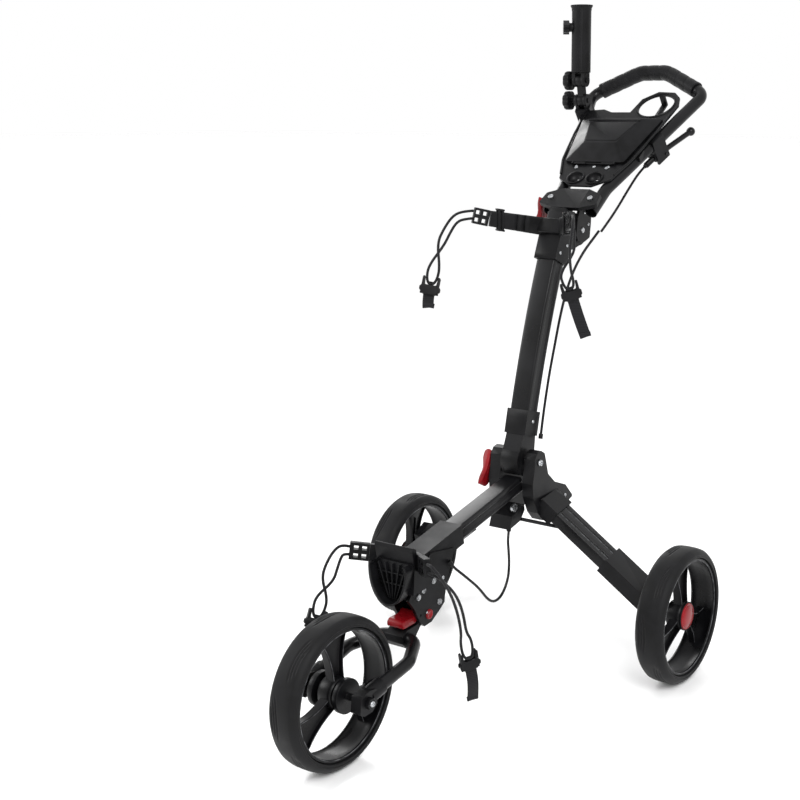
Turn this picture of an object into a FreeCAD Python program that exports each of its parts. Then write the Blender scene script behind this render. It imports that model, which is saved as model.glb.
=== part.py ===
import FreeCAD, Part
import math
import os
import Sketcher
from FreeCAD import Placement, Rotation, Vector

# Three-wheel folding golf push cart, standing open.
# Working axes: X across the cart, +Y towards the user, +Z up.  The floor is Z 0 and the
# front axle stands over Y 0 until every piece is shifted to the middle of the box.

doc = FreeCAD.newDocument("push_cart")
sheet = doc.addObject("Spreadsheet::Sheet", "Sizes")
rows = []


def size(alias, value):
    """Put one driving dimension (mm or degrees) in the sheet and return it."""
    rows.append(alias)
    cell = "B%d" % len(rows)
    sheet.set("A%d" % len(rows), alias)
    sheet.set(cell, repr(value))
    sheet.setAlias(cell, alias)
    return value


# Whole cart
wheel_radius = size("wheel_radius", 127.0)
wheelbase = size("wheelbase", 609.0)
track = size("track", 616.0)
knee_height = size("knee_height", 394.0)
knee_y = size("knee_reach", 535.0)
run_gap = size("run_gap", 0.4)
pivot_play = size("pivot_play", 0.05)
# Wheels
tyre_width = size("tyre_width", 56.0)
tyre_depth = size("tyre_depth", 17.0)
tyre_shoulder = size("tyre_shoulder", 9.0)
rim_width = size("rim_width", 46.0)
rim_wall = size("rim_wall", 5.0)
web_thick = size("web_thick", 6.0)
hub_radius = size("hub_radius", 27.0)
hub_width = size("hub_width", 30.0)
axle_radius = size("axle_radius", 6.0)
cap_radius = size("cap_radius", 25.0)
window_count = size("window_count", 3)
# Fork
fork_tube_radius = size("fork_tube_radius", 11.0)
fork_tube_wall = size("fork_tube_wall", 1.8)
fork_half = size("fork_half", 60.0)
crown_y = size("crown_y", 170.0)
crown_z = size("crown_z", 162.0)
fork_pivot_y = size("fork_pivot_y", 250.0)
fork_pivot_z = size("fork_pivot_z", 206.0)
# Tubes of the frame
lower_wide = size("lower_wide", 38.0)
lower_deep = size("lower_deep", 29.0)
tube_wall = size("tube_wall", 2.0)
lower_slope = size("lower_slope", 12.5)
upper_wide = size("upper_wide", 40.0)
upper_deep = size("upper_deep", 38.0)
upper_tilt = size("upper_tilt", 13.5)
upper_curve = size("upper_curve", 11.0)
upper_long = size("upper_long", 424.0)
bracket_wall = size("bracket_wall", 4.0)
cheek_thick = size("cheek_thick", 6.0)
size("bolt_head", 5.5)
size("pin_radius", 5.0)
# Rear arms
arm_wide = size("arm_wide", 54.0)
arm_thick = size("arm_thick", 22.0)
size("rod_radius", 3.5)
# Handle
handle_radius = size("handle_radius", 12.0)
handle_wall = size("handle_wall", 1.8)
handle_tilt = size("handle_tilt", 54.0)
handle_long = size("handle_long", 352.0)
handle_foot = size("handle_foot", 47.0)
handle_half = size("handle_half", 131.0)
grip_radius = size("grip_radius", 16.0)
grip_rise = size("grip_rise", 46.0)
grip_flat = size("grip_flat", 27.0)
joint_y = size("joint_y", 725.0)
joint_z = size("joint_z", 812.0)
disc_radius = size("disc_radius", 30.0)
tray_thick = size("tray_thick", 4.0)
size("ball_radius", 16.0)
cup_radius = size("cup_radius", 37.0)
lid_height = size("lid_height", 22.0)
# Umbrella holder
holder_radius = size("holder_radius", 20.0)
holder_bore = size("holder_bore", 16.0)
holder_long = size("holder_long", 134.0)
knob_radius = size("knob_radius", 20.0)
knob_thick = size("knob_thick", 14.0)
# Cords
elastic_radius = size("elastic_radius", 2.5)
cable_radius = size("cable_radius", 2.5)
webbing_wide = size("webbing_wide", 21.0)

doc.recompute()
pieces = {}
cord_nodes = []
UP = Vector(0, 0, 1)
ACROSS = Vector(1, 0, 0)
rear_y = wheelbase
knee_z = knee_height


def sin(degrees):
    return math.sin(math.radians(degrees))


def cos(degrees):
    return math.cos(math.radians(degrees))


def frame_at(origin, z_axis, x_axis):
    """Placement whose local Z and X run along the given directions."""
    z_unit = Vector(z_axis).normalize()
    x_unit = Vector(x_axis)
    x_unit = (x_unit - z_unit * x_unit.dot(z_unit)).normalize()
    return Placement(Vector(origin), Rotation(x_unit, z_unit.cross(x_unit), z_unit, "ZXY"))


# Local frames: local Z across the cart (+X), local X to the rear (+Y), local Y up.
def side_frame(x, y=0.0, z=0.0):
    return Placement(Vector(x, y, z),
                     Rotation(Vector(0, 1, 0), Vector(0, 0, 1), Vector(1, 0, 0), "ZXY"))


def keep(name, shape_object, place=None):
    """Name a finished object as one node of the part."""
    shape_object.Label = name
    if place is not None:
        shape_object.Placement = place
    pieces[name] = shape_object
    return shape_object


def origin_plane(body, role):
    return [item for item in body.Origin.OriginFeatures if item.Role == role][0]


def sketch(body, role="XY_Plane"):
    drawing = body.newObject("Sketcher::SketchObject", "Sketch")
    drawing.AttachmentSupport = (origin_plane(body, role), [""])
    drawing.MapMode = "FlatFace"
    return drawing


def draw_outline(drawing, points):
    """Closed outline of straight lines joined end to end."""
    start = drawing.GeometryCount
    count = len(points)
    corners = [Vector(p[0], p[1], 0) for p in points]
    for i in range(count):
        drawing.addGeometry(Part.LineSegment(corners[i], corners[(i + 1) % count]))
    for i in range(count):
        after = start + (i + 1) % count
        drawing.addConstraint(Sketcher.Constraint("Coincident", start + i, 2, after, 1))


def draw_hole(drawing, x, y, rule):
    """Circle whose radius follows the sheet."""
    index = drawing.GeometryCount
    drawing.addGeometry(Part.Circle(Vector(x, y, 0), UP, 2.0))
    rows_before = drawing.ConstraintCount
    drawing.addConstraint(Sketcher.Constraint("Radius", index, 2.0))
    drawing.setExpression("Constraints[%d]" % rows_before, rule)


def round_edges(body, radius):
    """Fillet the corners of the outline: the tip's edges that run along local Z."""
    doc.recompute()
    base = body.Tip
    names = []
    for number, edge in enumerate(base.Shape.Edges, 1):
        if isinstance(edge.Curve, Part.Line) and abs(edge.tangentAt(edge.FirstParameter).z) > 0.99:
            names.append("Edge%d" % number)
    fillet = body.newObject("PartDesign::Fillet", "Fillet")
    fillet.Base = (base, names)
    fillet.Radius = radius


def padded(name, points, rule, place, holes=(), rounding=0.0, both=True):
    """Body made by padding one outline with round holes in it."""
    body = doc.addObject("PartDesign::Body", name)
    drawing = sketch(body)
    draw_outline(drawing, points)
    for hole in holes:
        draw_hole(drawing, *hole)
    pad = body.newObject("PartDesign::Pad", "Pad")
    pad.Profile = drawing
    pad.setExpression("Length", rule)
    if both:
        pad.SideType = "Symmetric"
    if rounding:
        round_edges(body, rounding)
    body.Placement = place
    return body


def turned(name, points, place):
    """Body of revolution about local Z; points are (radius, height)."""
    body = doc.addObject("PartDesign::Body", name)
    drawing = sketch(body, "XZ_Plane")
    draw_outline(drawing, points)
    turn = body.newObject("PartDesign::Revolution", "Revolution")
    turn.Profile = drawing
    turn.ReferenceAxis = (drawing, ["V_Axis"])
    turn.Angle = 360
    body.Placement = place
    return body


def cylinder(name, radius_rule, height, place, height_rule=None):
    item = doc.addObject("Part::Cylinder", name)
    item.setExpression("Radius", radius_rule)
    item.Height = height
    if height_rule:
        item.setExpression("Height", height_rule)
    item.Placement = place
    return item


def rod(name, radius_rule, start, end):
    """Round bar from one point to another."""
    start, end = Vector(start), Vector(end)
    direction = end - start
    side = ACROSS if abs(direction.normalize().x) < 0.9 else UP
    return cylinder(name, radius_rule, (end - start).Length, frame_at(start, end - start, side))


def block(name, long, wide, high, place):
    """Box centred on its placement."""
    item = doc.addObject("Part::Box", name)
    item.Length, item.Width, item.Height = long, wide, high
    item.Placement = place.multiply(Placement(Vector(-long / 2, -wide / 2, -high / 2), Rotation()))
    return item


def fuse(name, items):
    joined = doc.addObject("Part::MultiFuse", name)
    joined.Shapes = items
    joined.Refine = True
    return joined


def cut(name, base, tools):
    tool = tools[0] if len(tools) == 1 else fuse(name + "_tools", tools)
    less = doc.addObject("Part::Cut", name)
    less.Base = base
    less.Tool = tool
    return less


cross_pin_radius = 2.45


def eye_bolt(name, bar, pivot, hinge):
    """Bolt whose bar ends in an eye for a lever's cross pin."""
    outward = Vector(-1, 0, 0)
    stem = rod(name + "_stem", "4", pivot - outward * 16, pivot + outward * 4.5)
    hole = rod(name + "_hole", "%g" % (cross_pin_radius + 0.05), pivot - hinge * 8,
               pivot + hinge * 8)
    return cut(name, fuse(name + "_union", [bar, stem]), [hole])


def group(name, items):
    """Several like pieces in one node."""
    both = doc.addObject("Part::Compound", name)
    both.Links = items
    return both


def bent_path(points, radii):
    """Straight runs joined by tangent arcs; one radius for each inner point."""
    corners = [Vector(p) for p in points]
    edges = []
    last = corners[0]
    for i in range(1, len(corners) - 1):
        before = (corners[i - 1] - corners[i]).normalize()
        after = (corners[i + 1] - corners[i]).normalize()
        turn = math.pi - before.getAngle(after)
        reach = radii[i - 1] * math.tan(turn / 2)
        start, end = corners[i] + before * reach, corners[i] + after * reach
        bisector = (before + after).normalize()
        middle = corners[i] + bisector * (radii[i - 1] / math.cos(turn / 2) - radii[i - 1])
        edges.append(Part.LineSegment(last, start).toShape())
        edges.append(Part.Arc(start, middle, end).toShape())
        last = end
    edges.append(Part.LineSegment(last, corners[-1]).toShape())
    return Part.Wire(edges)


def swept(path, radius):
    start = path.Edges[0]
    direction = start.tangentAt(start.FirstParameter)
    ring = Part.Wire([Part.Circle(start.valueAt(start.FirstParameter), direction, radius).toShape()])
    return path.makePipeShell([ring], True, False)


def bent_tube(name, points, radii, radius, bore=0.0):
    path = bent_path(points, radii)
    shape = swept(path, radius)
    if bore:
        shape = shape.cut(swept(path, bore))
    item = doc.addObject("Part::Feature", name)
    item.Shape = shape
    return keep(name, item)


def cord(name, points, radius):
    """Cord along chosen points, with arcs as large as the runs allow."""
    corners = [Vector(p) for p in points]
    radii = []
    for i in range(1, len(corners) - 1):
        before, after = corners[i - 1] - corners[i], corners[i + 1] - corners[i]
        turn = math.pi - before.getAngle(after)
        radii.append(0.45 * min(before.Length, after.Length) / math.tan(turn / 2))
    item = bent_tube(name, points, radii, radius)
    path = bent_path(points, radii)
    ratio = item.Shape.Volume / (path.Length * math.pi * radius ** 2)
    print("%s length %.0f volume ratio %.3f radii %s"
          % (name, path.Length, ratio, " ".join("%.0f" % r for r in radii)))
    cord_nodes.append(name)
    return item


# ---------------------------------------------------------------- wheels
def wheel(prefix, suffix, centre, outward):
    """Tyre and rim with its local Z along the wheel's outward side."""
    place = frame_at(centre, Vector(outward, 0, 0), UP)
    half, rim_radius = tyre_width / 2, wheel_radius - tyre_depth
    keep(prefix + "_tyre" + suffix, turned(prefix + "_tyre_body", [
        (rim_radius, -half + 3), (wheel_radius - tyre_shoulder, -half),
        (wheel_radius - 3, -half + 7), (wheel_radius, -half + 19),
        (wheel_radius, half - 19), (wheel_radius - 3, half - 7),
        (wheel_radius - tyre_shoulder, half), (rim_radius, half - 3)], place))
    edge, rim = rim_width / 2, rim_radius - 0.02
    inner = rim - rim_wall
    bore = axle_radius + pivot_play
    hub_face, web = hub_width / 2, web_thick / 2
    body = turned(prefix + "_rim_body", [
        (bore, -hub_face), (hub_radius, -hub_face), (hub_radius, -web), (inner, -web),
        (inner, -edge), (rim, -edge), (rim, edge), (inner, edge), (inner, web),
        (hub_radius, web), (hub_radius, hub_face), (bore, hub_face)], place)
    doc.recompute()
    window = sketch(body)
    near, far = hub_radius + 4, inner - 3
    spread = 180.0 / window_count
    draw_outline(window, [
        (near * cos(spread - 34), near * sin(spread - 34)),
        (far * 0.72 * cos(spread - 44), far * 0.72 * sin(spread - 44)),
        (far * cos(spread - 36), far * sin(spread - 36)),
        (far * cos(spread - 18), far * sin(spread - 18)), (far * cos(spread), far * sin(spread)),
        (far * cos(spread + 18), far * sin(spread + 18)),
        (far * cos(spread + 36), far * sin(spread + 36)),
        (far * 0.72 * cos(spread + 44), far * 0.72 * sin(spread + 44)),
        (near * cos(spread + 34), near * sin(spread + 34))])
    pocket = body.newObject("PartDesign::Pocket", "Window")
    pocket.Profile = window
    pocket.Type = "ThroughAll"
    pocket.SideType = "Symmetric"
    pattern = body.newObject("PartDesign::PolarPattern", "Windows")
    pattern.Originals = [pocket]
    pattern.Axis = (window, ["N_Axis"])
    pattern.Angle = 360
    pattern.setExpression("Occurrences", "Sizes.window_count")
    body.Tip = pattern
    keep(prefix + "_rim" + suffix, body)


wheel("front", "", Vector(0, 0, wheel_radius), 1)
side_names = {-1: "_left", 1: "_right"}
for side in (-1, 1):
    hub = Vector(side * track / 2, rear_y, wheel_radius)
    wheel("rear", side_names[side], hub, side)
    cap_height = 8.0
    cap_base = hub_width / 2 + run_gap / 2
    keep("hub_cap" + side_names[side], turned("hub_cap_body", [
        (0, cap_base), (cap_radius, cap_base), (cap_radius, cap_base + cap_height - 4),
        (cap_radius - 5, cap_base + cap_height), (0, cap_base + cap_height)],
        frame_at(hub, Vector(side, 0, 0), UP)))

# ---------------------------------------------------------------- fork
fork_bends = [34.0, 25.0, 25.0, 34.0]
leg_end = Vector(fork_half, 16, wheel_radius + 4)
crown = [Vector(-fork_half, 16, wheel_radius + 4), Vector(-fork_half - 4, 114, 152),
         Vector(-34, crown_y, crown_z), Vector(34, crown_y, crown_z),
         Vector(fork_half + 4, 114, 152), leg_end]
bent_tube("fork_tube", crown, fork_bends, fork_tube_radius,
          fork_tube_radius - fork_tube_wall)

knuckles = []
knuckle_inner, knuckle_thick = 52.0, 20.0
for side in (-1, 1):
    mid = side * (knuckle_inner + knuckle_thick / 2)
    plate = padded("knuckle_plate", [(-20, -14), (-10, -20), (10, -19), (22, -9), (21, 16), (4, 18),
                                     (-16, 14)], "%g" % knuckle_thick,
                   side_frame(mid, 0, wheel_radius),
                   holes=[(0, 0, "Sizes.axle_radius")], rounding=3.0)
    socket = rod("knuckle_socket", "Sizes.fork_tube_radius + 3",
                 (side * fork_half, 13, wheel_radius + 3.6),
                 (side * (fork_half + 1), 44, wheel_radius + 10))
    axle_hole = cylinder("knuckle_axle_hole", "Sizes.axle_radius", 2 * knuckle_thick + 20,
                         side_frame(mid - knuckle_thick - 10, 0, wheel_radius))
    body = fuse("knuckle", [plate, socket])
    tube_copy = doc.addObject("Part::Feature", "knuckle_tube_space")
    tube_copy.Shape = swept(bent_path(crown, fork_bends), fork_tube_radius)
    knuckles.append(cut("knuckle_cut", body, [tube_copy, axle_hole]))
keep("fork_knuckles", group("fork_knuckles", knuckles))

drum_radius, drum_wide = 29.0, 10.0
axle_length = 2 * (knuckle_inner + knuckle_thick) + 12
axle = cylinder("axle_bar", "Sizes.axle_radius", axle_length,
                side_frame(-axle_length / 2, 0, wheel_radius))
collars = [cylinder("axle_flange", "%g" % drum_radius, drum_wide,
                    side_frame(side * (hub_width / 2 + 6 + drum_wide / 2) - drum_wide / 2, 0,
                               wheel_radius)) for side in (-1, 1)]
nuts = [padded("axle_nut", [(10 * cos(60 * k), 10 * sin(60 * k)) for k in range(6)], "8",
               side_frame(side * (knuckle_inner + knuckle_thick + 4.0), 0, wheel_radius))
        for side in (-1, 1)]
keep("front_axle", fuse("front_axle", [axle] + collars + nuts))

head_wide = 38.0
head = padded("head_block", [
    (156, 170), (155, 158), (163, 148), (178, 146), (190, 158), (204, 174), (236, 191), (250, 192),
    (261, 197), (265, 208), (259, 217), (248, 220), (222, 208), (196, 180), (168, 178)],
    "%g" % head_wide, side_frame(0), rounding=3.0)
crown_space = cylinder("crown_space", "Sizes.fork_tube_radius", head_wide + 4,
                       side_frame(-head_wide / 2 - 2, crown_y, crown_z))
pin_space = cylinder("head_pin_space", "Sizes.pin_radius + Sizes.pivot_play", head_wide + 4,
                     side_frame(-head_wide / 2 - 2, fork_pivot_y, fork_pivot_z))
# The button stands in a round track so that it can be pressed and the head can turn
button_radius, button_press = 9.0, 4.0
button_y, button_z = fork_pivot_y - 29, fork_pivot_z - 14
button_reach = math.hypot(button_y - fork_pivot_y, button_z - fork_pivot_z)
track_deep = button_press + 1.5
track_base = side_frame(head_wide / 2 - track_deep, fork_pivot_y, fork_pivot_z)
track_space = cut("button_track", cylinder("track_outer", "%g" % (button_reach + 10), 12, track_base),
                  [cylinder("track_inner", "%g" % (button_reach - 10.5), 14, track_base)])
keep("fork_head", cut("fork_head", head, [crown_space, pin_space, track_space]))
cheek_gap = head_wide / 2 + run_gap
latch_y, latch_z, latch_pin_radius = 198.0, 197.0, 2.0
button_long = cheek_thick + 3.0
button_place = side_frame(cheek_gap - 0.4, button_y, button_z)
keep("fork_button", cylinder("fork_button", "%g" % button_radius, button_long, button_place))

# ---------------------------------------------------------------- lower frame
lower_dir = Vector(0, cos(lower_slope), sin(lower_slope))
lower_up = Vector(0, -sin(lower_slope), cos(lower_slope))
lower_start = Vector(0, 222, 284)
lower_long = 309.0
lower_place = frame_at(lower_start, lower_dir, ACROSS)


def along_lower(distance, rise=0.0, x=0.0):
    return lower_start + lower_dir * distance + lower_up * rise + Vector(x, 0, 0)


def box_tube(name, wide, deep, long_rule, place):
    body = doc.addObject("PartDesign::Body", name)
    drawing = sketch(body)
    a, b = wide / 2, deep / 2
    draw_outline(drawing, [(-a, -b), (a, -b), (a, b), (-a, b)])
    a, b = a - tube_wall, b - tube_wall
    draw_outline(drawing, [(-a, -b), (a, -b), (a, b), (-a, b)])
    pad = body.newObject("PartDesign::Pad", "Pad")
    pad.Profile = drawing
    pad.setExpression("Length", long_rule)
    body.Placement = place
    return body


keep("lower_tube", box_tube("lower_tube_body", lower_wide, lower_deep, "%g" % lower_long,
                            lower_place))

sleeve_long = 112.0
sleeve = block("bracket_sleeve", lower_wide + 2 * bracket_wall, lower_deep + 2 * bracket_wall,
               sleeve_long, frame_at(along_lower(sleeve_long / 2 - 6), lower_dir, ACROSS))
cheeks = [padded("bracket_cheek", [(166, 232), (180, 214), (196, 184), (208, 174), (228, 176),
                                   (252, 190), (266, 200), (268, 214), (276, 240), (298, 290),
                                   (228, 300), (190, 268)],
                 "Sizes.cheek_thick", side_frame(side * (cheek_gap + cheek_thick / 2)),
                 holes=[(fork_pivot_y, fork_pivot_z, "Sizes.pin_radius"),
                        (latch_y, latch_z, "%g" % (latch_pin_radius + 0.05)),
                        (button_y, button_z, "%g" % (button_radius + 0.06))][:2 + (side > 0)],
                 rounding=2.0)
          for side in (-1, 1)]
nose = padded("bracket_nose", [(166, 232), (176, 240), (208, 250), (236, 262), (286, 262),
                               (300, 290), (228, 300), (190, 268)], "%g" % (2 * cheek_gap + 2),
              side_frame(0))
fill = block("tube_space", lower_wide, lower_deep, lower_long,
             frame_at(along_lower(lower_long / 2), lower_dir, ACROSS))
keep("lower_bracket", cut("lower_bracket", fuse("bracket_body", [sleeve, nose] + cheeks), [fill]))

# Bag rest: an open scoop of plate that leans forward from the bracket
scoop_half = 40.0
scoop = padded("scoop_body", [(160, 246), (208, 251.5), (214, 262), (188, 275), (176, 296),
                              (168, 326), (160, 330), (158, 322), (164, 296), (162, 268)],
               "%g" % (2 * scoop_half), side_frame(0), rounding=1.5)
scoop_space = block("scoop_space", 2 * (cheek_gap + cheek_thick) + 0.6, 80, 100,
                    Placement(Vector(0, 205.4, 268), Rotation()))
wing_long = 26.0
wings = []
for side in (-1, 1):
    wing_dir = Vector(side * 0.80, -0.58, 0.12)
    wing = block("base_wing", 30, 7, wing_long,
                 frame_at(Vector(side * 34, 178, 302) + wing_dir * (wing_long / 2), wing_dir, UP))
    wings.append(wing)
apron_frame = Placement(Vector(0, 162, 0), Rotation(ACROSS, 90))
apron = padded("cradle_apron", [(-scoop_half, 300), (scoop_half, 300), (scoop_half - 6, 262),
                                (20, 236), (0, 226), (-20, 236), (6 - scoop_half, 262)], "6",
               apron_frame, rounding=3.0)
clips = []
clip_places = {}
for side in (-1, 1):
    wing_dir = Vector(side * 0.80, -0.58, 0.12).normalize()
    start = Vector(side * 34, 178, 302) + wing_dir * (wing_long + 0.4)
    place = frame_at(start + wing_dir * 17, wing_dir, UP)
    clip_places["lower", side] = (start, wing_dir)
    holes = [block("clip_hole", 7, 30, 8, place.multiply(Placement(Vector(x, 0, z), Rotation())))
             for x in (-7, 7) for z in (-8, 6)]
    clips.append(cut("base_clip", block("base_clip_body", 30, 11, 34, place), holes))
cradle = cut("cradle_trim", fuse("cradle_body", [scoop, apron] + wings), [scoop_space])
keep("base_cradle", group("base_cradle", [cradle] + clips))

# Knee yoke: two cheeks joined under the lower tube
yoke_inner = lower_wide / 2 + run_gap / 2
yoke_wide = 2 * (yoke_inner + cheek_thick)
yoke_bolt_y, yoke_bolt_z = 490.0, 313.0
yoke_outline = [(488, 300), (472, 272), (512, 281), (530, 300), (562, 330), (578, 372),
                (573, 410), (556, 434), (520, 436), (498, 408), (486, 372), (484, 338)]
yoke_cheeks = [padded("yoke_cheek", yoke_outline, "Sizes.cheek_thick",
                      side_frame(side * (yoke_inner + cheek_thick / 2)),
                      holes=[(knee_y, knee_z, "Sizes.pin_radius"),
                             (yoke_bolt_y, yoke_bolt_z, "Sizes.bolt_head + 2")], rounding=4.0)
               for side in (-1, 1)]
yoke_web = padded("yoke_web", [(482, 298), (473, 274), (511, 282.5), (526, 300), (524, 312)],
                  "%g" % (yoke_wide - 4), side_frame(0))
keep("knee_yoke", cut("knee_yoke", fuse("yoke_body", yoke_cheeks + [yoke_web]), [
    block("yoke_tube_space", lower_wide + 0.3, lower_deep + 0.4, 2 * lower_long,
          frame_at(along_lower(lower_long), lower_dir, ACROSS))]))

# Bolts and pins of the lower frame
socket_thick = 24.0
socket_inner = yoke_wide / 2 + run_gap
knee_pin_reach = socket_inner + socket_thick + 1.5
knee_lever_at = Vector(-(socket_inner + socket_thick + 11), knee_y, knee_z)
knee_lever_down = Vector(0, -0.45, -0.89).normalize()
frame_pins = [
    eye_bolt("knee_pin", cylinder("knee_bar", "Sizes.pin_radius", 2 * knee_pin_reach,
                                  side_frame(-knee_pin_reach, knee_y, knee_z)),
             knee_lever_at, knee_lever_down.cross(ACROSS)),
    cylinder("fork_pin", "Sizes.pin_radius", 2 * (cheek_gap + cheek_thick) + 6,
             side_frame(-cheek_gap - cheek_thick - 3, fork_pivot_y, fork_pivot_z))]
for side in (-1, 1):
    face = side * (cheek_gap + cheek_thick)
    for y, z in ((204, 241), (190, 232), (233, 249)):
        frame_pins.append(rod("bracket_bolt", "Sizes.bolt_head", (face, y, z),
                              (face + side * 3, y, z)))
    # The yoke's bolts sit flush, because the rear arms sweep past them
    frame_pins.append(rod("yoke_bolt", "Sizes.bolt_head + 2",
                          (side * (yoke_inner + 0.2), yoke_bolt_y, yoke_bolt_z),
                          (side * (yoke_wide / 2 + 0.1), yoke_bolt_y, yoke_bolt_z)))
keep("frame_bolts", group("frame_bolts", frame_pins))

# ---------------------------------------------------------------- knee sleeve and upper tube
curve_radius = upper_long / math.radians(upper_curve)
barrel_radius = 30.0
neck_start = Vector(0, knee_y, knee_z) + Vector(0, sin(upper_tilt), cos(upper_tilt)) * 50
upper_back = Vector(0, cos(upper_tilt), -sin(upper_tilt))
curve_centre = neck_start + upper_back * curve_radius


def along_upper(distance, back=0.0, x=0.0):
    """Point on the curved upper tube, measured from the tube's lower end."""
    tilt = upper_tilt + upper_curve * distance / upper_long
    point = curve_centre - Vector(0, cos(tilt), -sin(tilt)) * (curve_radius - back)
    return point + Vector(x, 0, 0)


def upper_frame(distance, back=0.0, x=0.0):
    tilt = upper_tilt + upper_curve * distance / upper_long
    return frame_at(along_upper(distance, back, x), Vector(0, sin(tilt), cos(tilt)), ACROSS)


def curved_box(name, wide, deep, start, end, bore=0.0):
    """Box section swept along the curve of the upper tube."""
    shapes = []
    for grow in ([0.0, -bore] if bore else [0.0]):
        a, b = wide / 2 + grow, deep / 2 + grow
        corners = [along_upper(start, s * b, c * a) for s, c in ((-1, -1), (-1, 1), (1, 1), (1, -1))]
        face = Part.Face(Part.makePolygon(corners + corners[:1]))
        turn = upper_curve * (end - start) / upper_long
        shapes.append(face.revolve(curve_centre, Vector(-1, 0, 0), turn))
    item = doc.addObject("Part::Feature", name)
    item.Shape = shapes[0].cut(shapes[1]) if bore else shapes[0]
    return item


keep("upper_tube", curved_box("upper_tube_body", upper_wide, upper_deep, 0, upper_long, tube_wall))
upper_space = curved_box("upper_space", upper_wide, upper_deep, 0, upper_long)
sleeve_wall = 3.0
knee_cup = curved_box("knee_cup", upper_wide + 2 * sleeve_wall, upper_deep + 2 * sleeve_wall, -2, 44)
barrel_half = lower_wide / 2
barrel = cylinder("knee_barrel", "%g" % barrel_radius, 2 * barrel_half,
                  side_frame(-barrel_half, knee_y, knee_z))
neck = padded("knee_neck", [(-barrel_radius + 2, 0), (barrel_radius - 2, 0), (22, 50), (-20, 50)],
              "%g" % (2 * barrel_half),
              frame_at(Vector(0, knee_y, knee_z), ACROSS, upper_back))
knee_hole = cylinder("knee_hole", "Sizes.pin_radius + Sizes.pivot_play", 60,
                     side_frame(-30, knee_y, knee_z))
keep("knee_sleeve", cut("knee_sleeve", fuse("knee_fused", [knee_cup, barrel, neck]),
                        [upper_space, knee_hole]))

bracket_from, bracket_to = 330.0, 408.0
upper_bracket_cup = curved_box("bracket_cup", upper_wide + 2 * bracket_wall,
                               upper_deep + 2 * bracket_wall, bracket_from, bracket_to)
keep("upper_bracket", cut("upper_bracket", upper_bracket_cup, [upper_space]))

arm_level = 392.0
arm_long = 108.0
arms = []
upper_clip_list = []
for side in (-1, 1):
    root = along_upper(arm_level, -upper_deep / 2 - 1, side * (upper_wide / 2 - 2))
    arm_dir = Vector(side * 0.62, -0.76, 0.16).normalize()
    arms.append(block("upper_arm", 34, 8, arm_long,
                      frame_at(root + arm_dir * (arm_long / 2), arm_dir, UP)))
    start = root + arm_dir * (arm_long + 0.4)
    clip_dir = Vector(side * 0.66, -0.72, 0.22).normalize()
    clip_places["upper", side] = (start, clip_dir)
    place = frame_at(start + clip_dir * 18, clip_dir, UP)
    holes = [block("clip_hole", 7, 30, 8, place.multiply(Placement(Vector(x, 0, z), Rotation())))
             for x in (-7, 7) for z in (-6, 8)]
    upper_clip_list.append(cut("upper_clip", block("upper_clip_body", 30, 11, 30, place), holes))
arm_mid = block("arm_bridge", upper_wide + 2 * bracket_wall + 2, 12, 30,
                upper_frame(arm_level, -upper_deep / 2 - bracket_wall - 4))
bracket_space = curved_box("bracket_space", upper_wide + 2 * bracket_wall,
                           upper_deep + 2 * bracket_wall, bracket_from - 20, bracket_to + 20)
keep("upper_arms", cut("upper_arms", fuse("arms_body", arms + [arm_mid]), [bracket_space]))
keep("upper_clips", group("upper_clips", upper_clip_list))

# ---------------------------------------------------------------- handle joint
knuckle_half = 18.0
hub_disc = cylinder("joint_hub", "Sizes.disc_radius", 2 * knuckle_half,
                    side_frame(-knuckle_half, joint_y, joint_z))
neck_block = padded("joint_neck", [(650, 782), (700, 776), (joint_y, joint_z - disc_radius),
                                   (joint_y, joint_z + disc_radius), (690, 850), (672, 848)],
                    "%g" % (2 * knuckle_half), side_frame(0))
joint_hole = cylinder("joint_hole", "Sizes.pin_radius + Sizes.pivot_play", 60,
                      side_frame(-30, joint_y, joint_z))
tube_ext = curved_box("joint_tube_space", upper_wide + 0.6, upper_deep, -20, upper_long)
bracket_ext = curved_box("joint_bracket_space", upper_wide + 20, upper_deep + 2 * bracket_wall,
                         bracket_from - 4, bracket_to)
knuckle_plug = curved_box("joint_plug", 2 * knuckle_half, upper_deep - 2 * tube_wall,
                          upper_long - 30, upper_long + 8)
keep("handle_knuckle", cut("handle_knuckle", fuse("knuckle_union", [
    cut("joint_neck_cut", fuse("joint_raw", [hub_disc, neck_block]), [tube_ext, bracket_ext]),
    knuckle_plug]), [joint_hole]))

plate_gap = knuckle_half + run_gap / 2
handle_up = Vector(0, sin(handle_tilt), cos(handle_tilt))
handle_out = Vector(0, cos(handle_tilt), -sin(handle_tilt))
handle_base = Vector(0, 738, 862)
plate_cheeks = [padded("plate_cheek", [(-23, -9), (-15, -20), (6, -24), (28, -16), (32, 10),
                                       (34, 40), (24, 62), (0, 58), (-18, 24)],
                       "Sizes.cheek_thick",
                       side_frame(side * (plate_gap + cheek_thick / 2), joint_y, joint_z),
                       holes=[(0, 0, "Sizes.pin_radius")], rounding=4.0) for side in (-1, 1)]
plate_half = handle_foot + handle_radius + 5
crown_plate = padded("crown_plate", [(-plate_half, 14), (-plate_half + 4, -16), (-30, -30),
                                     (30, -30), (plate_half - 4, -16), (plate_half, 14),
                                     (30, 26), (-30, 26)], "8",
                     frame_at(handle_base - handle_out * (handle_radius + 4.2) - handle_up * 11,
                              handle_out * -1, ACROSS * -1), rounding=5.0)
joint_turn_space = cylinder("joint_turn_space", "Sizes.disc_radius + 1", 2 * plate_gap,
                            side_frame(-plate_gap, joint_y, joint_z))
keep("handle_plate", cut("handle_plate", fuse("plate_union", plate_cheeks + [crown_plate]),
                         [joint_turn_space]))


def on_handle(x, up, front=0.0):
    """Point in the plane of the handle: across, up the slope, and out of its front."""
    return handle_base + Vector(x, 0, 0) + handle_up * up - handle_out * front


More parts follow.
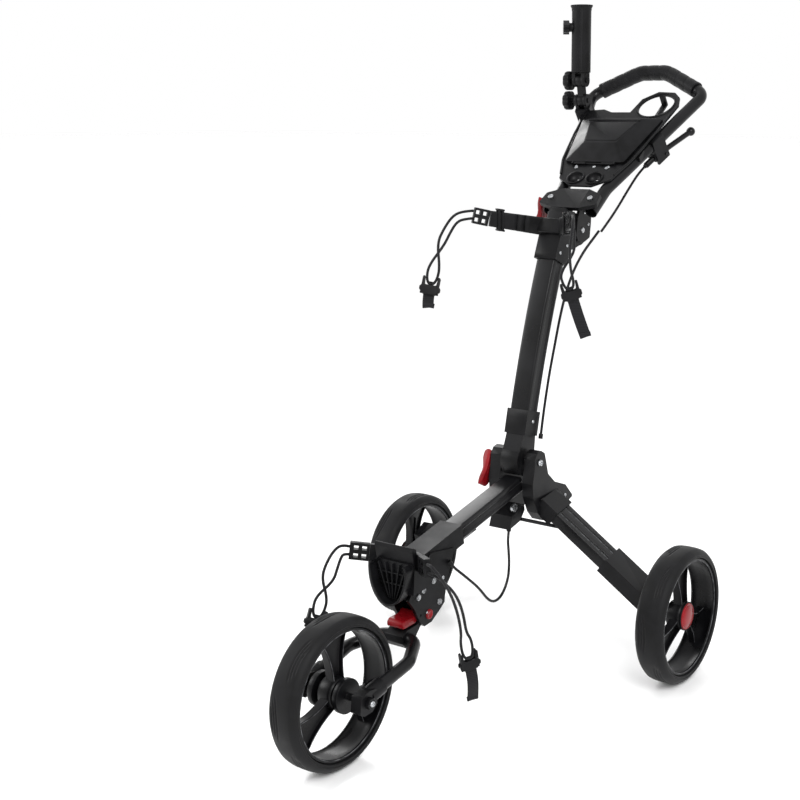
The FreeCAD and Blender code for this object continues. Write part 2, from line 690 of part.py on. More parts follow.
corner_up = handle_long
grip_set = 30.0
top_y = on_handle(0, corner_up).y + grip_set
top_z = on_handle(0, corner_up).z + grip_rise
tube_points = [on_handle(-handle_foot, -26), on_handle(-handle_foot, 44),
               on_handle(-handle_half, corner_up), Vector(-grip_flat - 4, top_y, top_z),
               Vector(grip_flat + 4, top_y, top_z), on_handle(handle_half, corner_up),
               on_handle(handle_foot, 44), on_handle(handle_foot, -26)]
tube_bends = [70.0, 24.0, 50.0, 50.0, 24.0, 70.0]
bent_tube("handle_tube", tube_points, tube_bends, handle_radius, handle_radius - handle_wall)


def toward(a, b, distance):
    return a + (b - a).normalize() * distance


grip_start = toward(tube_points[2], tube_points[3], 24)
grip_end = toward(tube_points[5], tube_points[4], 24)
grip_points = [grip_start, tube_points[3], tube_points[4], grip_end]
bent_tube("handle_grip", grip_points, [50.0, 50.0], grip_radius, handle_radius)

# ---------------------------------------------------------------- tray and lid
tray_front = handle_radius + run_gap + 1.0
tray_place = frame_at(on_handle(0, 0, tray_front + tray_thick / 2), -handle_out, ACROSS)
low, high, cup_up, cup_x = 44.0, 236.0, 292.0, 53.0
tray = doc.addObject("PartDesign::Body", "tray_body")
tray_sketch = sketch(tray)
slope_sign = 1 if tray_place.multVec(Vector(0, 1, 0)).z > tray_place.Base.z else -1
draw_outline(tray_sketch, [(x, slope_sign * y) for x, y in (
    (-24, low - 12), (24, low - 12), (58, low + 10), (76, low + 68), (96, high), (103, cup_up),
    (cup_x + 42, cup_up + 26), (cup_x + 24, cup_up + 44), (cup_x - 14, cup_up + 47),
    (cup_x - 42, cup_up + 22), (cup_x - 50, high + 34), (-40, high + 34), (-62, high + 44),
    (-98, high + 40), (-104, high + 22), (-96, high), (-76, low + 68), (-58, low + 10))])
ball_x, ball_up = 21.0, low + 12
for side in (-1, 1):
    draw_hole(tray_sketch, side * ball_x, slope_sign * ball_up, "Sizes.ball_radius")
draw_hole(tray_sketch, cup_x, slope_sign * cup_up, "Sizes.cup_radius")
tray_pad = tray.newObject("PartDesign::Pad", "Pad")
tray_pad.Profile = tray_sketch
tray_pad.setExpression("Length", "Sizes.tray_thick")
tray_pad.SideType = "Symmetric"
tray.Placement = tray_place
tray_feet = [block("tray_foot", 20, 24, tray_front - handle_radius * 0.2,
                   frame_at(on_handle(side * 76, 140, tray_front / 2 + handle_radius * 0.1),
                            -handle_out, ACROSS)) for side in (-1, 1)]
# Shallow box under the lid
box_low, box_high, box_half = low + 62, high - 4, 66.0
box_mid, box_span = (box_low + box_high) / 2, box_high - box_low
box_deep = 16.0
box_outer = block("tray_box", 2 * box_half - 14, box_span, box_deep,
                  frame_at(on_handle(0, box_mid, tray_front - box_deep / 2), -handle_out, ACROSS))
box_inner = block("tray_box_space", 2 * box_half - 20, box_span - 6, box_deep + 10,
                  frame_at(on_handle(0, box_mid, tray_front - box_deep / 2 + 8), -handle_out, ACROSS))
# The lid turns on a thin pin held by two ears of the tray
lid_back = tray_front + tray_thick + run_gap
lid_low, lid_high, lid_rim = box_low - 8, high + 6, 5.0
hinge_up, hinge_front, hinge_pin_radius = lid_low - 0.6, lid_back + 2.8, 1.3
ear_x, ear_thick = 46.6, 4.0
hinge_hole = rod("lid_ear_hole", "%g" % (hinge_pin_radius + 0.05),
                 on_handle(-ear_x - 6, hinge_up, hinge_front),
                 on_handle(ear_x + 6, hinge_up, hinge_front))
lid_ears = [cut("lid_ear", block("lid_ear_body", ear_thick, 6.4, 7,
                                 frame_at(on_handle(side * ear_x, hinge_up, hinge_front - 0.2),
                                          -handle_out, ACROSS)), [hinge_hole])
            for side in (-1, 1)]
bar_drop = 26.0
bar_front = tray_front - bar_drop
spoke_bar = block("cup_bar", 12, 2 * cup_radius + 14, 4,
                  frame_at(on_handle(cup_x - 6, cup_up, bar_front + 2), -handle_out, ACROSS))
bar_posts = [block("cup_post", 12, 5, bar_drop + 2,
                   frame_at(on_handle(cup_x - 6, cup_up + end * (cup_radius + 4.5),
                                      bar_front + bar_drop / 2 + 1), -handle_out, ACROSS))
             for end in (-1, 1)]
tube_space = doc.addObject("Part::Feature", "tray_tube_space")
tube_space.Shape = swept(bent_path(tube_points, tube_bends), handle_radius + 0.02)
keep("tray", cut("tray", fuse("tray_union", [cut("tray_cut", fuse("tray_raw", [tray, box_outer]),
                                                 [box_inner]), spoke_bar] + bar_posts
                                                + tray_feet + lid_ears),
                 [tube_space]))


def lid_point(x, up, front):
    return on_handle(x, up, lid_back + front)


def hull_solid(name, rings):
    """Closed solid between matching outlines."""
    shape = Part.makeLoft([Part.makePolygon([*ring, ring[0]]) for ring in rings], True, True)
    item = doc.addObject("Part::Feature", name)
    item.Shape = shape
    return item


lid_solid = hull_solid("lid_solid", [
    [lid_point(-66, lid_low, front), lid_point(66, lid_low, front),
     lid_point(92, lid_high, front), lid_point(-92, lid_high, front)]
    for front in (0, lid_rim)] + [
    [lid_point(-36, lid_low + 42, lid_height), lid_point(36, lid_low + 42, lid_height),
     lid_point(58, lid_high - 22, lid_height), lid_point(-58, lid_high - 22, lid_height)]])
lid_space = hull_solid("lid_space", [
    [lid_point(-62, lid_low + 4, -1), lid_point(62, lid_low + 4, -1),
     lid_point(87, lid_high - 4, -1), lid_point(-87, lid_high - 4, -1)],
    [lid_point(-34, lid_low + 42, lid_height - 3), lid_point(34, lid_low + 42, lid_height - 3),
     lid_point(56, lid_high - 24, lid_height - 3), lid_point(-56, lid_high - 24, lid_height - 3)]])
lid_notches = [block("lid_notch", ear_thick + 1, 10, 14,
                     frame_at(on_handle(side * ear_x, hinge_up, hinge_front), -handle_out, ACROSS))
               for side in (-1, 1)]
lid_barrels = [rod("lid_barrel", "2.6", on_handle(side * 18, hinge_up, hinge_front),
                   on_handle(side * 43.8, hinge_up, hinge_front)) for side in (-1, 1)]
lid_pin = rod("lid_pin", "%g" % hinge_pin_radius, on_handle(-ear_x - 3.2, hinge_up, hinge_front),
              on_handle(ear_x + 3.2, hinge_up, hinge_front))
keep("tray_lid", fuse("tray_lid", [cut("lid_shell", lid_solid, [lid_space] + lid_notches), lid_pin]
                      + lid_barrels))

# ---------------------------------------------------------------- handle bolts
lever_reach = handle_foot + handle_radius + 4
handle_lever_at = Vector(-lever_reach - 9.6, joint_y, joint_z)
handle_lever_up = Vector(0, 0.22, 0.975).normalize()
handle_fixings = [eye_bolt(
    "handle_pin", cylinder("handle_bar", "Sizes.pin_radius",
                           lever_reach + plate_gap + cheek_thick + 2,
                           side_frame(-lever_reach, joint_y, joint_z)),
    handle_lever_at, handle_lever_up.cross(ACROSS))]
for side in (-1, 1):
    at = on_handle(side * (handle_foot - 3), -9, handle_radius + 8.2)
    handle_fixings.append(rod("plate_bolt", "Sizes.bolt_head", at, at - handle_out * 3))
    at = on_handle(side * 34, lid_low - 12, tray_front + tray_thick)
    handle_fixings.append(rod("tray_screw", "3.5", at, at - handle_out * 2))
keep("handle_bolts", group("handle_bolts", handle_fixings))

# ---------------------------------------------------------------- umbrella holder
def on_left_tube(up):
    """Point on the axis of the handle's left tube."""
    share = (up - 44) / (corner_up - 44)
    return on_handle(-handle_foot - (handle_half - handle_foot) * share, up)


clamp_up = 284.0
clamp_at = on_left_tube(clamp_up)
tube_dir = (on_left_tube(corner_up) - on_left_tube(44)).normalize()
clamp_front = (-handle_out - tube_dir * (-handle_out).dot(tube_dir)).normalize()
clamp_ring = block("clamp_block", 32, 40, 30, frame_at(clamp_at + clamp_front * 3, tube_dir, ACROSS))
clamp_space = rod("clamp_space", "Sizes.handle_radius", clamp_at - tube_dir * 40,
                  clamp_at + tube_dir * 40)
tray_copy = doc.addObject("Part::Feature", "clamp_tray_space")
doc.recompute()
tray_copy.Shape = pieces["tray"].Shape
pivot_low = Vector(clamp_at.x, clamp_at.y - 17, clamp_at.z + 30)
ear_half, ear_thick, ear_radius = 14.0, 7.0, 13.0
ears = [cylinder("clamp_ear", "%g" % ear_radius, ear_thick,
                 side_frame(pivot_low.x + x, pivot_low.y, pivot_low.z)) for x in (-14.0, 7.0)]
stems = [block("clamp_stem", ear_thick, 24, 26,
               frame_at(Vector(pivot_low.x + x + ear_thick / 2, pivot_low.y + 9, pivot_low.z - 13),
                        Vector(0, -0.5, 0.86), ACROSS)) for x in (-14.0, 7.0)]
keep("holder_clamp", cut("holder_clamp", fuse("clamp_union", [clamp_ring] + ears + stems),
                         [clamp_space, tray_copy,
                          cylinder("clamp_pin_space", "Sizes.pin_radius", 60,
                                   side_frame(pivot_low.x - 30, pivot_low.y, pivot_low.z)),
                          block("clamp_slot", 14, 30, 44,
                                Placement(Vector(pivot_low.x, pivot_low.y, pivot_low.z + 4),
                                          Rotation()))]))

# Swivel joint: a tongue in the clamp's ears, carrying an upper pivot under the tube
pivot_high = pivot_low + Vector(0, -8, 40)
tongue_half = 7.0 - run_gap / 2
tongue = cylinder("joint_tongue", "12.5", 2 * tongue_half,
                  side_frame(pivot_low.x - tongue_half, pivot_low.y, pivot_low.z))
joint_neck = block("joint_neck_bar", 2 * tongue_half, 14, 34,
                   frame_at((pivot_low + pivot_high) * 0.5, pivot_high - pivot_low, ACROSS))
upper_tongue = cylinder("joint_tongue_top", "13", 2 * tongue_half,
                        side_frame(pivot_high.x - tongue_half, pivot_high.y, pivot_high.z))
keep("holder_joint", cut("holder_joint", fuse("joint_union", [tongue, joint_neck, upper_tongue]), [
    cylinder("low_pin_space", "Sizes.pin_radius + Sizes.pivot_play", 40,
             side_frame(pivot_low.x - 20, pivot_low.y, pivot_low.z)),
    cylinder("high_pin_space", "Sizes.pin_radius + Sizes.pivot_play", 40,
             side_frame(pivot_high.x - 20, pivot_high.y, pivot_high.z))]))


def knob(name, centre_x, y, z, pin_long):
    """Lobed hand knob on the -X side with its bolt through the ears."""
    lobes = 8
    outline = []
    for k in range(lobes * 2):
        reach = knob_radius if k % 2 == 0 else knob_radius - 2.2
        outline.append((reach * cos(k * 180 / lobes), reach * sin(k * 180 / lobes)))
    grip = padded(name + "_grip", outline, "Sizes.knob_thick",
                  side_frame(centre_x - knob_thick / 2, y, z))
    bolt = cylinder(name + "_bolt", "Sizes.pin_radius - 0.02", pin_long, side_frame(centre_x, y, z))
    return keep(name, fuse(name, [grip, bolt]))


low_reach = 12.0
knob("low_knob", pivot_low.x - ear_half - low_reach, pivot_low.y, pivot_low.z,
     2 * ear_half + low_reach + 3)
high_reach = holder_radius - ear_half + 0.6
knob("high_knob", pivot_high.x - ear_half - high_reach, pivot_high.y, pivot_high.z,
     2 * ear_half + high_reach + 3)

# The tube: ears below, a socket with a stepped floor, a lip at the mouth
tube_base = Vector(pivot_high.x, pivot_high.y, pivot_high.z + 16)
holder_axis = frame_at(tube_base, UP, ACROSS)
lip = 3.0
barrel_solid = turned("holder_barrel", [
    (0, 0), (holder_radius, 0), (holder_radius, holder_long - lip),
    (holder_radius + lip, holder_long), (holder_bore, holder_long), (holder_bore, 14), (0, 14)],
    holder_axis)
holder_ears = [cylinder("holder_ear", "13", ear_thick,
                        side_frame(pivot_high.x + x, pivot_high.y, pivot_high.z))
               for x in (-14.0, 7.0)]
holder_legs = [block("holder_leg", ear_thick, 24, 18,
                     Placement(Vector(pivot_high.x + x + ear_thick / 2, pivot_high.y,
                                      pivot_high.z + 9), Rotation())) for x in (-14.0, 7.0)]
knob_boss_z = tube_base.z + 90
screw_dir = Vector(-0.82, -0.57, 0)
boss_start = Vector(tube_base.x, tube_base.y, knob_boss_z)
boss = rod("holder_boss", "9", boss_start + screw_dir * (holder_bore + 1),
           boss_start + screw_dir * (holder_radius + 5))
keep("holder_tube", cut("holder_tube", fuse("holder_union", [barrel_solid, boss] + holder_ears
                                            + holder_legs), [
    cylinder("holder_pin_space", "Sizes.pin_radius", 60,
             side_frame(pivot_high.x - 30, pivot_high.y, pivot_high.z)),
    rod("screw_space", "4 + Sizes.pivot_play", boss_start + screw_dir * 2,
        boss_start + screw_dir * 40)]))
screw_from = boss_start + screw_dir * (holder_radius + 5.4)
knob_head = padded("tube_knob_head", [((14 - 2 * (k % 2)) * cos(22.5 * k),
                                       (14 - 2 * (k % 2)) * sin(22.5 * k)) for k in range(16)],
                   "12", frame_at(screw_from + screw_dir * 6, screw_dir, UP))
knob_screw = rod("tube_screw", "4", boss_start + screw_dir * (holder_bore + 0.5),
                 screw_from + screw_dir * 2)
keep("tube_knob", fuse("tube_knob", [knob_head, knob_screw]))

# ---------------------------------------------------------------- brake lever
brake_up = 192.0
brake_share = (brake_up - 44) / (corner_up - 44)
brake_tube = on_handle(handle_foot + (handle_half - handle_foot) * brake_share, brake_up)
right_dir = (tube_points[5] - tube_points[6]).normalize()
under = (handle_out - right_dir * handle_out.dot(right_dir)).normalize()
outward = right_dir.cross(under)
outward = outward if outward.x > 0 else outward * -1
# The clamp's front face lies just under the tray, and its back face 19 mm behind the tube
clamp_front, clamp_back = handle_radius + 1.0, 19.0
base_frame = frame_at(brake_tube + under * ((clamp_back - clamp_front) / 2), right_dir, outward)
brake_collar = block("brake_collar", 28, clamp_back + clamp_front, 34, base_frame)
lever_pivot = brake_tube + under * 31 + right_dir * 10
ear_middle = brake_tube + under * 29 + right_dir * 2
fork_ears = [block("brake_ear", 5, 22, 34, frame_at(ear_middle + outward * x, right_dir, outward))
             for x in (-10.5, 10.5)]
spout_drop = 27.0
spout_end = brake_tube + under * spout_drop - right_dir * 38
spout = rod("brake_spout", "6", brake_tube + under * spout_drop - right_dir * 13, spout_end)
spout_root = block("brake_root", 19, 16, 9,
                   frame_at(brake_tube + under * 24 - right_dir * 13.5, right_dir, outward))
keep("brake_base", cut("brake_base", fuse("brake_union", [brake_collar, spout, spout_root]
                                          + fork_ears), [
    rod("brake_tube_space", "Sizes.handle_radius", brake_tube - right_dir * 50,
        brake_tube + right_dir * 50),
    rod("brake_pin_space", "3", lever_pivot - outward * 30, lever_pivot + outward * 30)]))
lever_tip = lever_pivot + right_dir * 92 + under * 14
lever_bar = rod("lever_bar", "5.5", lever_pivot + right_dir * 6, lever_tip)
lever_hub = rod("lever_hub", "8.5", lever_pivot - outward * 7.6, lever_pivot + outward * 7.6)
lever_pin = rod("lever_pin", "2.98", lever_pivot - outward * 14.5, lever_pivot + outward * 14.5)
lever_ball = doc.addObject("Part::Sphere", "lever_ball")
lever_ball.Radius = 9
lever_ball.Placement = Placement(lever_tip, Rotation())
keep("brake_lever", fuse("brake_lever", [lever_bar, lever_hub, lever_pin, lever_ball]))

# ---------------------------------------------------------------- latch levers
def latch(name, pivot, toward_tip, long):
    """Curved cam lever: two cheeks on a cross pin, and a finger tab."""
    hinge = toward_tip.cross(ACROSS)
    place = frame_at(pivot, hinge, toward_tip)
    sign = -1 if place.multVec(Vector(0, 1, 0)).x > pivot.x else 1
    outline = [(x, sign * y) for x, y in ((-9, -2), (-6, -7), (long * 0.55, -8), (long, 0),
                                          (long + 2, 5), (long * 0.8, 6), (long * 0.5, 2),
                                          (8, 9), (-4, 8.4), (-8.5, 3.6))]
    body = padded(name + "_body", outline, "26", place, rounding=2.0)
    eye_space = block(name + "_eye_space", 22, 26, 8.8,
                      place.multiply(Placement(Vector(-1.5, 0, 0), Rotation())))
    cross_pin = rod(name + "_cross_pin", "%g" % cross_pin_radius, pivot - hinge * 13.5,
                    pivot + hinge * 13.5)
    return keep(name, fuse(name, [cut(name + "_cheeks", body, [eye_space]), cross_pin]))


latch("knee_lever", knee_lever_at, knee_lever_down, 60)
latch("handle_lever", handle_lever_at, handle_lever_up, 58)
tab = padded("fork_lever_body", [(159, 181), (194, 182.5), (206, 196), (200, 204), (190, 196),
                                 (164, 196), (158, 190)], "36", side_frame(0), rounding=1.5)
latch_reach = cheek_gap + cheek_thick + 0.5
tab_pin = cylinder("tab_pin", "%g" % latch_pin_radius, 2 * latch_reach,
                   side_frame(-latch_reach, latch_y, latch_z))
keep("fork_lever", fuse("fork_lever", [tab, tab_pin]))

# ---------------------------------------------------------------- rear arms
for side in (-1, 1):
    tag = side_names[side]
    mid_x = side * (socket_inner + socket_thick / 2)
    axle_end = Vector(side * (track / 2 - tyre_width / 2 - 6), rear_y, wheel_radius)
    root = Vector(side * (socket_inner + socket_thick * 0.62), knee_y + 32, knee_z - 78)
    arm_dir = (axle_end - root).normalize()
    run = (axle_end - root).Length

    def arm_frame(distance):
        return frame_at(root + arm_dir * distance, arm_dir, Vector(0, 1, 0))

    arm_long = run * 0.66
    bar = block("rear_arm_bar", arm_wide, arm_thick, arm_long, arm_frame(arm_long / 2))
    face_up = arm_dir.cross(Vector(0, 1, 0)).normalize()
    face_up = face_up if face_up.z > 0 else face_up * -1
    grooves = [block("arm_groove", 7, 6, arm_long + 20,
                     frame_at(root + arm_dir * arm_long / 2 + face_up * (arm_thick / 2)
                              + Vector(0, off, 0), arm_dir, Vector(0, 1, 0)))
               for off in (-13, 13)]
    bar_cut = cut("rear_arm_cut", bar, grooves)
    keep("rear_arm" + tag, bar_cut)
    bar_space = block("bar_space", arm_wide, arm_thick, arm_long, arm_frame(arm_long / 2))
    socket_plate = padded("socket_plate", [
        (519, 388), (519, 402), (527, 413), (541, 416), (553, 409), (558, 394), (566, 366),
        (590, 345), (630, 330), (658, 301), (628, 290), (604, 284), (548, 278), (530, 297),
        (514, 330), (512, 356)], "%g" % socket_thick, side_frame(mid_x),
        holes=[(knee_y, knee_z, "Sizes.pin_radius + Sizes.pivot_play")], rounding=3.0)
    collar = block("socket_collar", arm_wide + 10, arm_thick + 10, 40, arm_frame(22))
    reach = (socket_inner + 0.02) * side
    trim = block("socket_trim", 60, 200, 200,
                 Placement(Vector(reach - side * 30, 560, 330), Rotation()))
    keep("arm_socket" + tag, cut("arm_socket", fuse("socket_union", [socket_plate, collar]),
                                 [bar_space, trim]))
    shoe_start = root + arm_dir * (arm_long - 34)
    shoe = block("arm_shoe", arm_wide + 9, arm_thick + 9, run - arm_long + 22,
                 frame_at(shoe_start + arm_dir * (run - arm_long + 22) / 2, arm_dir,
                          Vector(0, 1, 0)))
    stub_start = track / 2 - tyre_width / 2 - 24
    stub = cylinder("axle_stub", "Sizes.axle_radius", hub_width / 2 + tyre_width / 2 + 24,
                    frame_at(Vector(side * stub_start, rear_y, wheel_radius), Vector(side, 0, 0),
                             UP))
    hub_boss = cylinder("hub_boss", "17", 26,
                        frame_at(Vector(side * (track / 2 - hub_width / 2 - 34), rear_y,
                                        wheel_radius), Vector(side, 0, 0), UP))
    spindle = cylinder("hub_spindle", "10", 34,
                       frame_at(Vector(side * (track / 2 - hub_width / 2 - 34 - run_gap), rear_y,
                                       wheel_radius), Vector(side, 0, 0), UP))
    lug = padded("arm_lug", [(rear_y - 44, wheel_radius + 60), (rear_y - 17, wheel_radius - 4),
                             (rear_y, wheel_radius - 17), (rear_y + 17, wheel_radius - 4),
                             (rear_y + 22, wheel_radius + 66), (rear_y - 10, wheel_radius + 78)],
                 "14", side_frame(side * (track / 2 - tyre_width / 2 - 14)), rounding=3.0)
    keep("arm_bracket" + tag, cut("arm_bracket", fuse("bracket_union", [shoe, stub, hub_boss,
                                                                       spindle, lug]),
                                  [bar_space]))
    rod_start = Vector(side * (yoke_wide / 2 + 6), knee_y - 34, knee_z - 104)
    rod_end = root + arm_dir * 62 - face_up * (arm_thick / 2 + 5.6) + Vector(0, -8, 0)
    keep("link_rod" + tag, rod("link_rod", "Sizes.rod_radius", rod_start, rod_end))

# ---------------------------------------------------------------- cords and straps
eye_half = 10.0
buckle_wide, buckle_deep = 33.0, 11.0


def strap(where, side, down, up, anchor, tongue, across, tail):
    """Elastic loop from a clip, round a buckle and back, with the buckle and its webbing."""
    name = where + "_strap" + side_names[side]
    tongue = Vector(*tongue).normalize()
    across = Vector(*across)
    across = (across - tongue * across.dot(tongue)).normalize()
    anchor = Vector(*anchor)
    first = anchor + across * eye_half
    last = anchor - across * eye_half
    loop = [first - tongue * 30, first - tongue * 8, anchor + across * 4.5 + tongue * 4,
            anchor - across * 4.5 + tongue * 4, last - tongue * 8, last - tongue * 30]
    start, clip_dir = clip_places[where, side]
    end_face = start + clip_dir * (30 + clip_offset[where])
    rise, fall = clip_holes[where]
    cord(name, [end_face + Vector(0, 0, rise)] + list(down) + loop + list(up)
         + [end_face + Vector(0, 0, fall)], elastic_radius)
    place = frame_at(anchor, tongue, across)

    def at(along):
        return place.multiply(Placement(Vector(0, 0, along), Rotation()))

    frame = block("buckle_frame", buckle_wide, buckle_deep, 34, at(7))
    shoulder = block("buckle_shoulder", buckle_wide + 6, buckle_deep - 3, 8, at(14))
    tongue_plate = block("buckle_tongue", webbing_wide, 3.0, tail, at(24 + tail / 2))
    slot = block("buckle_slot", 2 * eye_half + 6, 6.4, 30, at(-4))
    gate = block("buckle_gate", 16, 20, 6, at(17))
    buckle = where + "_buckle" + side_names[side]
    keep(buckle, cut(buckle, fuse("buckle_union", [frame, shoulder, tongue_plate]), [slot, gate]))
    cord_nodes.append(buckle)


clip_offset = {"upper": 3.0, "lower": 2.0}
clip_holes = {"upper": (8.0, -6.0), "lower": (6.0, -8.0)}
strap("upper", -1,
      [(-119, 525, 854), (-125, 504, 846), (-128, 482, 825), (-129, 462, 800)],
      [(-121, 472, 795), (-118, 488, 818), (-117, 506, 835), (-115, 525, 840)],
      (-125, 437, 731), (0.0, -0.34, -0.94), (0.83, 0.56, 0), 24)
strap("upper", 1,
      [(119, 531, 853), (125, 519, 842), (125, 515, 820), (119, 519, 792)],
      [(109, 553, 788), (111, 548, 808), (117, 540, 824), (116, 536, 834)],
      (104, 546, 726), (0.16, 0.26, -0.95), (0.83, 0.56, 0), 74)
strap("lower", -1,
      [(-93, 136, 319), (-101, 124, 310), (-106, 110, 291), (-107, 98, 268)],
      [(-97, 116, 258), (-94, 124, 280), (-93, 132, 296), (-90, 137, 303)],
      (-103, 80, 208), (0.0, -0.42, -0.91), (0.6, 0.8, 0), 24)
strap("lower", 1,
      [(94, 135, 319), (103, 137, 311), (107, 149, 293), (107, 166, 271), (105, 183, 246),
       (103, 199, 214), (102, 209, 180)],
      [(100, 226, 174), (101, 217, 208), (102, 203, 238), (102, 185, 262), (100, 165, 281),
       (98, 149, 296), (92, 140, 301)],
      (100, 232, 128), (0.06, 0.16, -0.98), (-0.5, -0.86, 0), 60)

pivot_side = 66.0
cord("handle_cable", [spout_end, spout_end - right_dir * 22, Vector(67, 824, 884),
                      Vector(66.5, 791, 857), Vector(66, 757, 832),
                      Vector(pivot_side, joint_y, joint_z)],
     cable_radius)
cord("upper_cable", [Vector(pivot_side - 5.6, joint_y, joint_z), Vector(58, 707, 798),
                     Vector(49, 689, 776), Vector(39, 671, 744), Vector(32, 654, 703),
                     Vector(29.5, 636, 655), Vector(28.5, 620, 604), Vector(28, 602, 551),
                     Vector(29, 586, 500), Vector(30, 575, 462), Vector(31, 568, 436)],
     cable_radius)
cord("lower_cable", [Vector(17, 481, 274.0), Vector(18.5, 477, 265), Vector(22, 470, 253),
                     Vector(29, 462, 239), Vector(37, 452, 220), Vector(41.5, 443, 197),
                     Vector(42, 430, 176), Vector(42, 412, 163), Vector(42, 391, 163),
                     Vector(42, 372, 176), Vector(42, 355, 195), Vector(42, 336, 213),
                     Vector(40.5, 316, 230), Vector(38, 299, 245), Vector(33.5, 286, 257),
                     Vector(29.5, 278, 268)],
     cable_radius)

# ---------------------------------------------------------------- finish
doc.recompute()
# Middle of the cart's box, front to back, becomes Y 0; it ends at the front tyre and the grip
rear_reach = top_y + grip_radius
shift = (rear_reach - wheel_radius) / 2
for item in pieces.values():
    here = item.Placement
    item.Placement = Placement(here.Base - Vector(0, shift, 0), here.Rotation)
doc.recompute()
bad = [item.Name for item in doc.Objects if "Invalid" in item.State or "Error" in item.State]
for name, item in pieces.items():
    if item.Shape.isNull() or not item.Shape.isValid() or item.Shape.Volume <= 0:
        bad.append(name)
if bad:
    raise SystemExit("faulty objects: " + ", ".join(bad))
os.makedirs("parts", exist_ok=True)
for name, item in pieces.items():
    item.Shape.exportStep("parts/%s.step" % name)
print(len(pieces), "nodes, shift", round(shift, 3))
print("joint points", "knee", (knee_y - shift, knee_z), "handle", (joint_y - shift, joint_z),
      "low", pivot_low, "high", pivot_high, "brake", lever_pivot, outward, "screw", screw_dir,
      screw_from)
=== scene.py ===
import math

import bmesh
import bpy
import numpy as np
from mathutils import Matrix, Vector


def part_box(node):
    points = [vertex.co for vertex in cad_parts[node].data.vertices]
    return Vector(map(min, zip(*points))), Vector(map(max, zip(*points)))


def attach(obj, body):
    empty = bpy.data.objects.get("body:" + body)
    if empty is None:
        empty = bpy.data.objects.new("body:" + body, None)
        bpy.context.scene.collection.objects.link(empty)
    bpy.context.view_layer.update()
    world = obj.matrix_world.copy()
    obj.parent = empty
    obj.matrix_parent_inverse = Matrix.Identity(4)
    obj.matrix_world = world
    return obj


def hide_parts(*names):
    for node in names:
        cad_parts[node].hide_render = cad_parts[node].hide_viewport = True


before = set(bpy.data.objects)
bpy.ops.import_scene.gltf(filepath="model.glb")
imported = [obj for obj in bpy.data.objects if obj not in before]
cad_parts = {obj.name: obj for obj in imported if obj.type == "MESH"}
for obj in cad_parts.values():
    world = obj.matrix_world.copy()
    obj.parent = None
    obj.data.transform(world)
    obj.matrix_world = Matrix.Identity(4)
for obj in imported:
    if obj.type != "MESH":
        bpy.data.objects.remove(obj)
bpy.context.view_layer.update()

bl_info = {
    "name": "Golf push cart looks",
    "version": (1, 0, 0),
    "blender": (4, 5, 0),
    "location": "View3D > Sidebar > Push cart",
    "description": "Builds the visible surfaces of a three-wheel push cart round its fixed frame",
    "category": "Object",
}

# Lengths are millimetres in the cart's working axes: X across, +Y to the user, Z up, with the
# front axle over Y 0.  row() carries them into the frame's metres.
MM = 0.001
UP = np.array([0.0, 0.0, 1.0])
ACROSS = np.array([1.0, 0.0, 0.0])


def middle_of(node):
    """Middle of a node's box, in metres in the frame."""
    low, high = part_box(node)
    return np.array((low + high) / 2)


SHIFT = -middle_of("front_tyre")[1] / MM
WHEEL_RADIUS = (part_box("front_tyre")[1].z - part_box("front_tyre")[0].z) / 2 / MM
TYRE_HALF = (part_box("front_tyre")[1].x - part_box("front_tyre")[0].x) / 2 / MM
KNEE = np.array([0.0, 535.0, 394.0])
JOINT = np.array([0.0, 725.0, 812.0])
HANDLE_TILT = math.radians(54.0)
HANDLE_UP = np.array([0.0, math.sin(HANDLE_TILT), math.cos(HANDLE_TILT)])
HANDLE_OUT = np.array([0.0, math.cos(HANDLE_TILT), -math.sin(HANDLE_TILT)])
HANDLE_BASE = np.array([0.0, 738.0, 862.0])
# The handle tube leans outwards from its feet to its corners (across, up the slope)
HANDLE_FOOT = np.array([47.0, 44.0])
HANDLE_CORNER = np.array([131.0, 352.0])
# Upper tube: length of its arc, lean at its foot, change of lean, and the run below it
UPPER_LENGTH, UPPER_NECK = 424.0, 50.0
UPPER_LEAN, UPPER_BEND = 13.5, 11.0
# The upper bag rest's arms leave the tube at this distance, each in its own direction
ARMS_AT = 392.0
# Lower tube: slope, direction and lower end
LOWER_SLOPE = math.radians(12.5)
LOWER_DIR = np.array([0.0, math.cos(LOWER_SLOPE), math.sin(LOWER_SLOPE)])
LOWER_START = np.array([0.0, 222.0, 284.0])
REAR_AXLE_Y, REAR_HALF_TRACK = 609.0, 308.0
LEVER_PIN_KNEE = np.array([-60.6, KNEE[1], KNEE[2]])
LEVER_PIN_HANDLE = np.array([-72.6, JOINT[1], JOINT[2]])
SIDES = {-1: "_left", 1: "_right"}


def row(points):
    """Working millimetres to frame metres."""
    return (np.asarray(points, float) - (0.0, SHIFT, 0.0)) * MM


def box_mm(node):
    """Lowest and highest corner of a node's box, in working millimetres."""
    return [np.array(corner) / MM + (0, SHIFT, 0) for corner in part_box(node)]


def unit(vector):
    vector = np.asarray(vector, float)
    return vector / np.linalg.norm(vector, axis=-1, keepdims=True)


def put(local, origin, z_axis, x_axis):
    """Local points (X, Y, Z) set on a frame whose Z and X run along the given directions."""
    z_unit = unit(z_axis)
    x_unit = np.asarray(x_axis, float)
    x_unit = unit(x_unit - z_unit * (x_unit @ z_unit))
    local = np.asarray(local, float)
    return np.asarray(origin) + local @ np.array([x_unit, np.cross(z_unit, x_unit), z_unit])


def on_handle(x, up, front=0.0):
    """Point in the plane of the handle: across, up the slope, and out of its front."""
    return HANDLE_BASE + (x, 0, 0) + HANDLE_UP * up - HANDLE_OUT * front


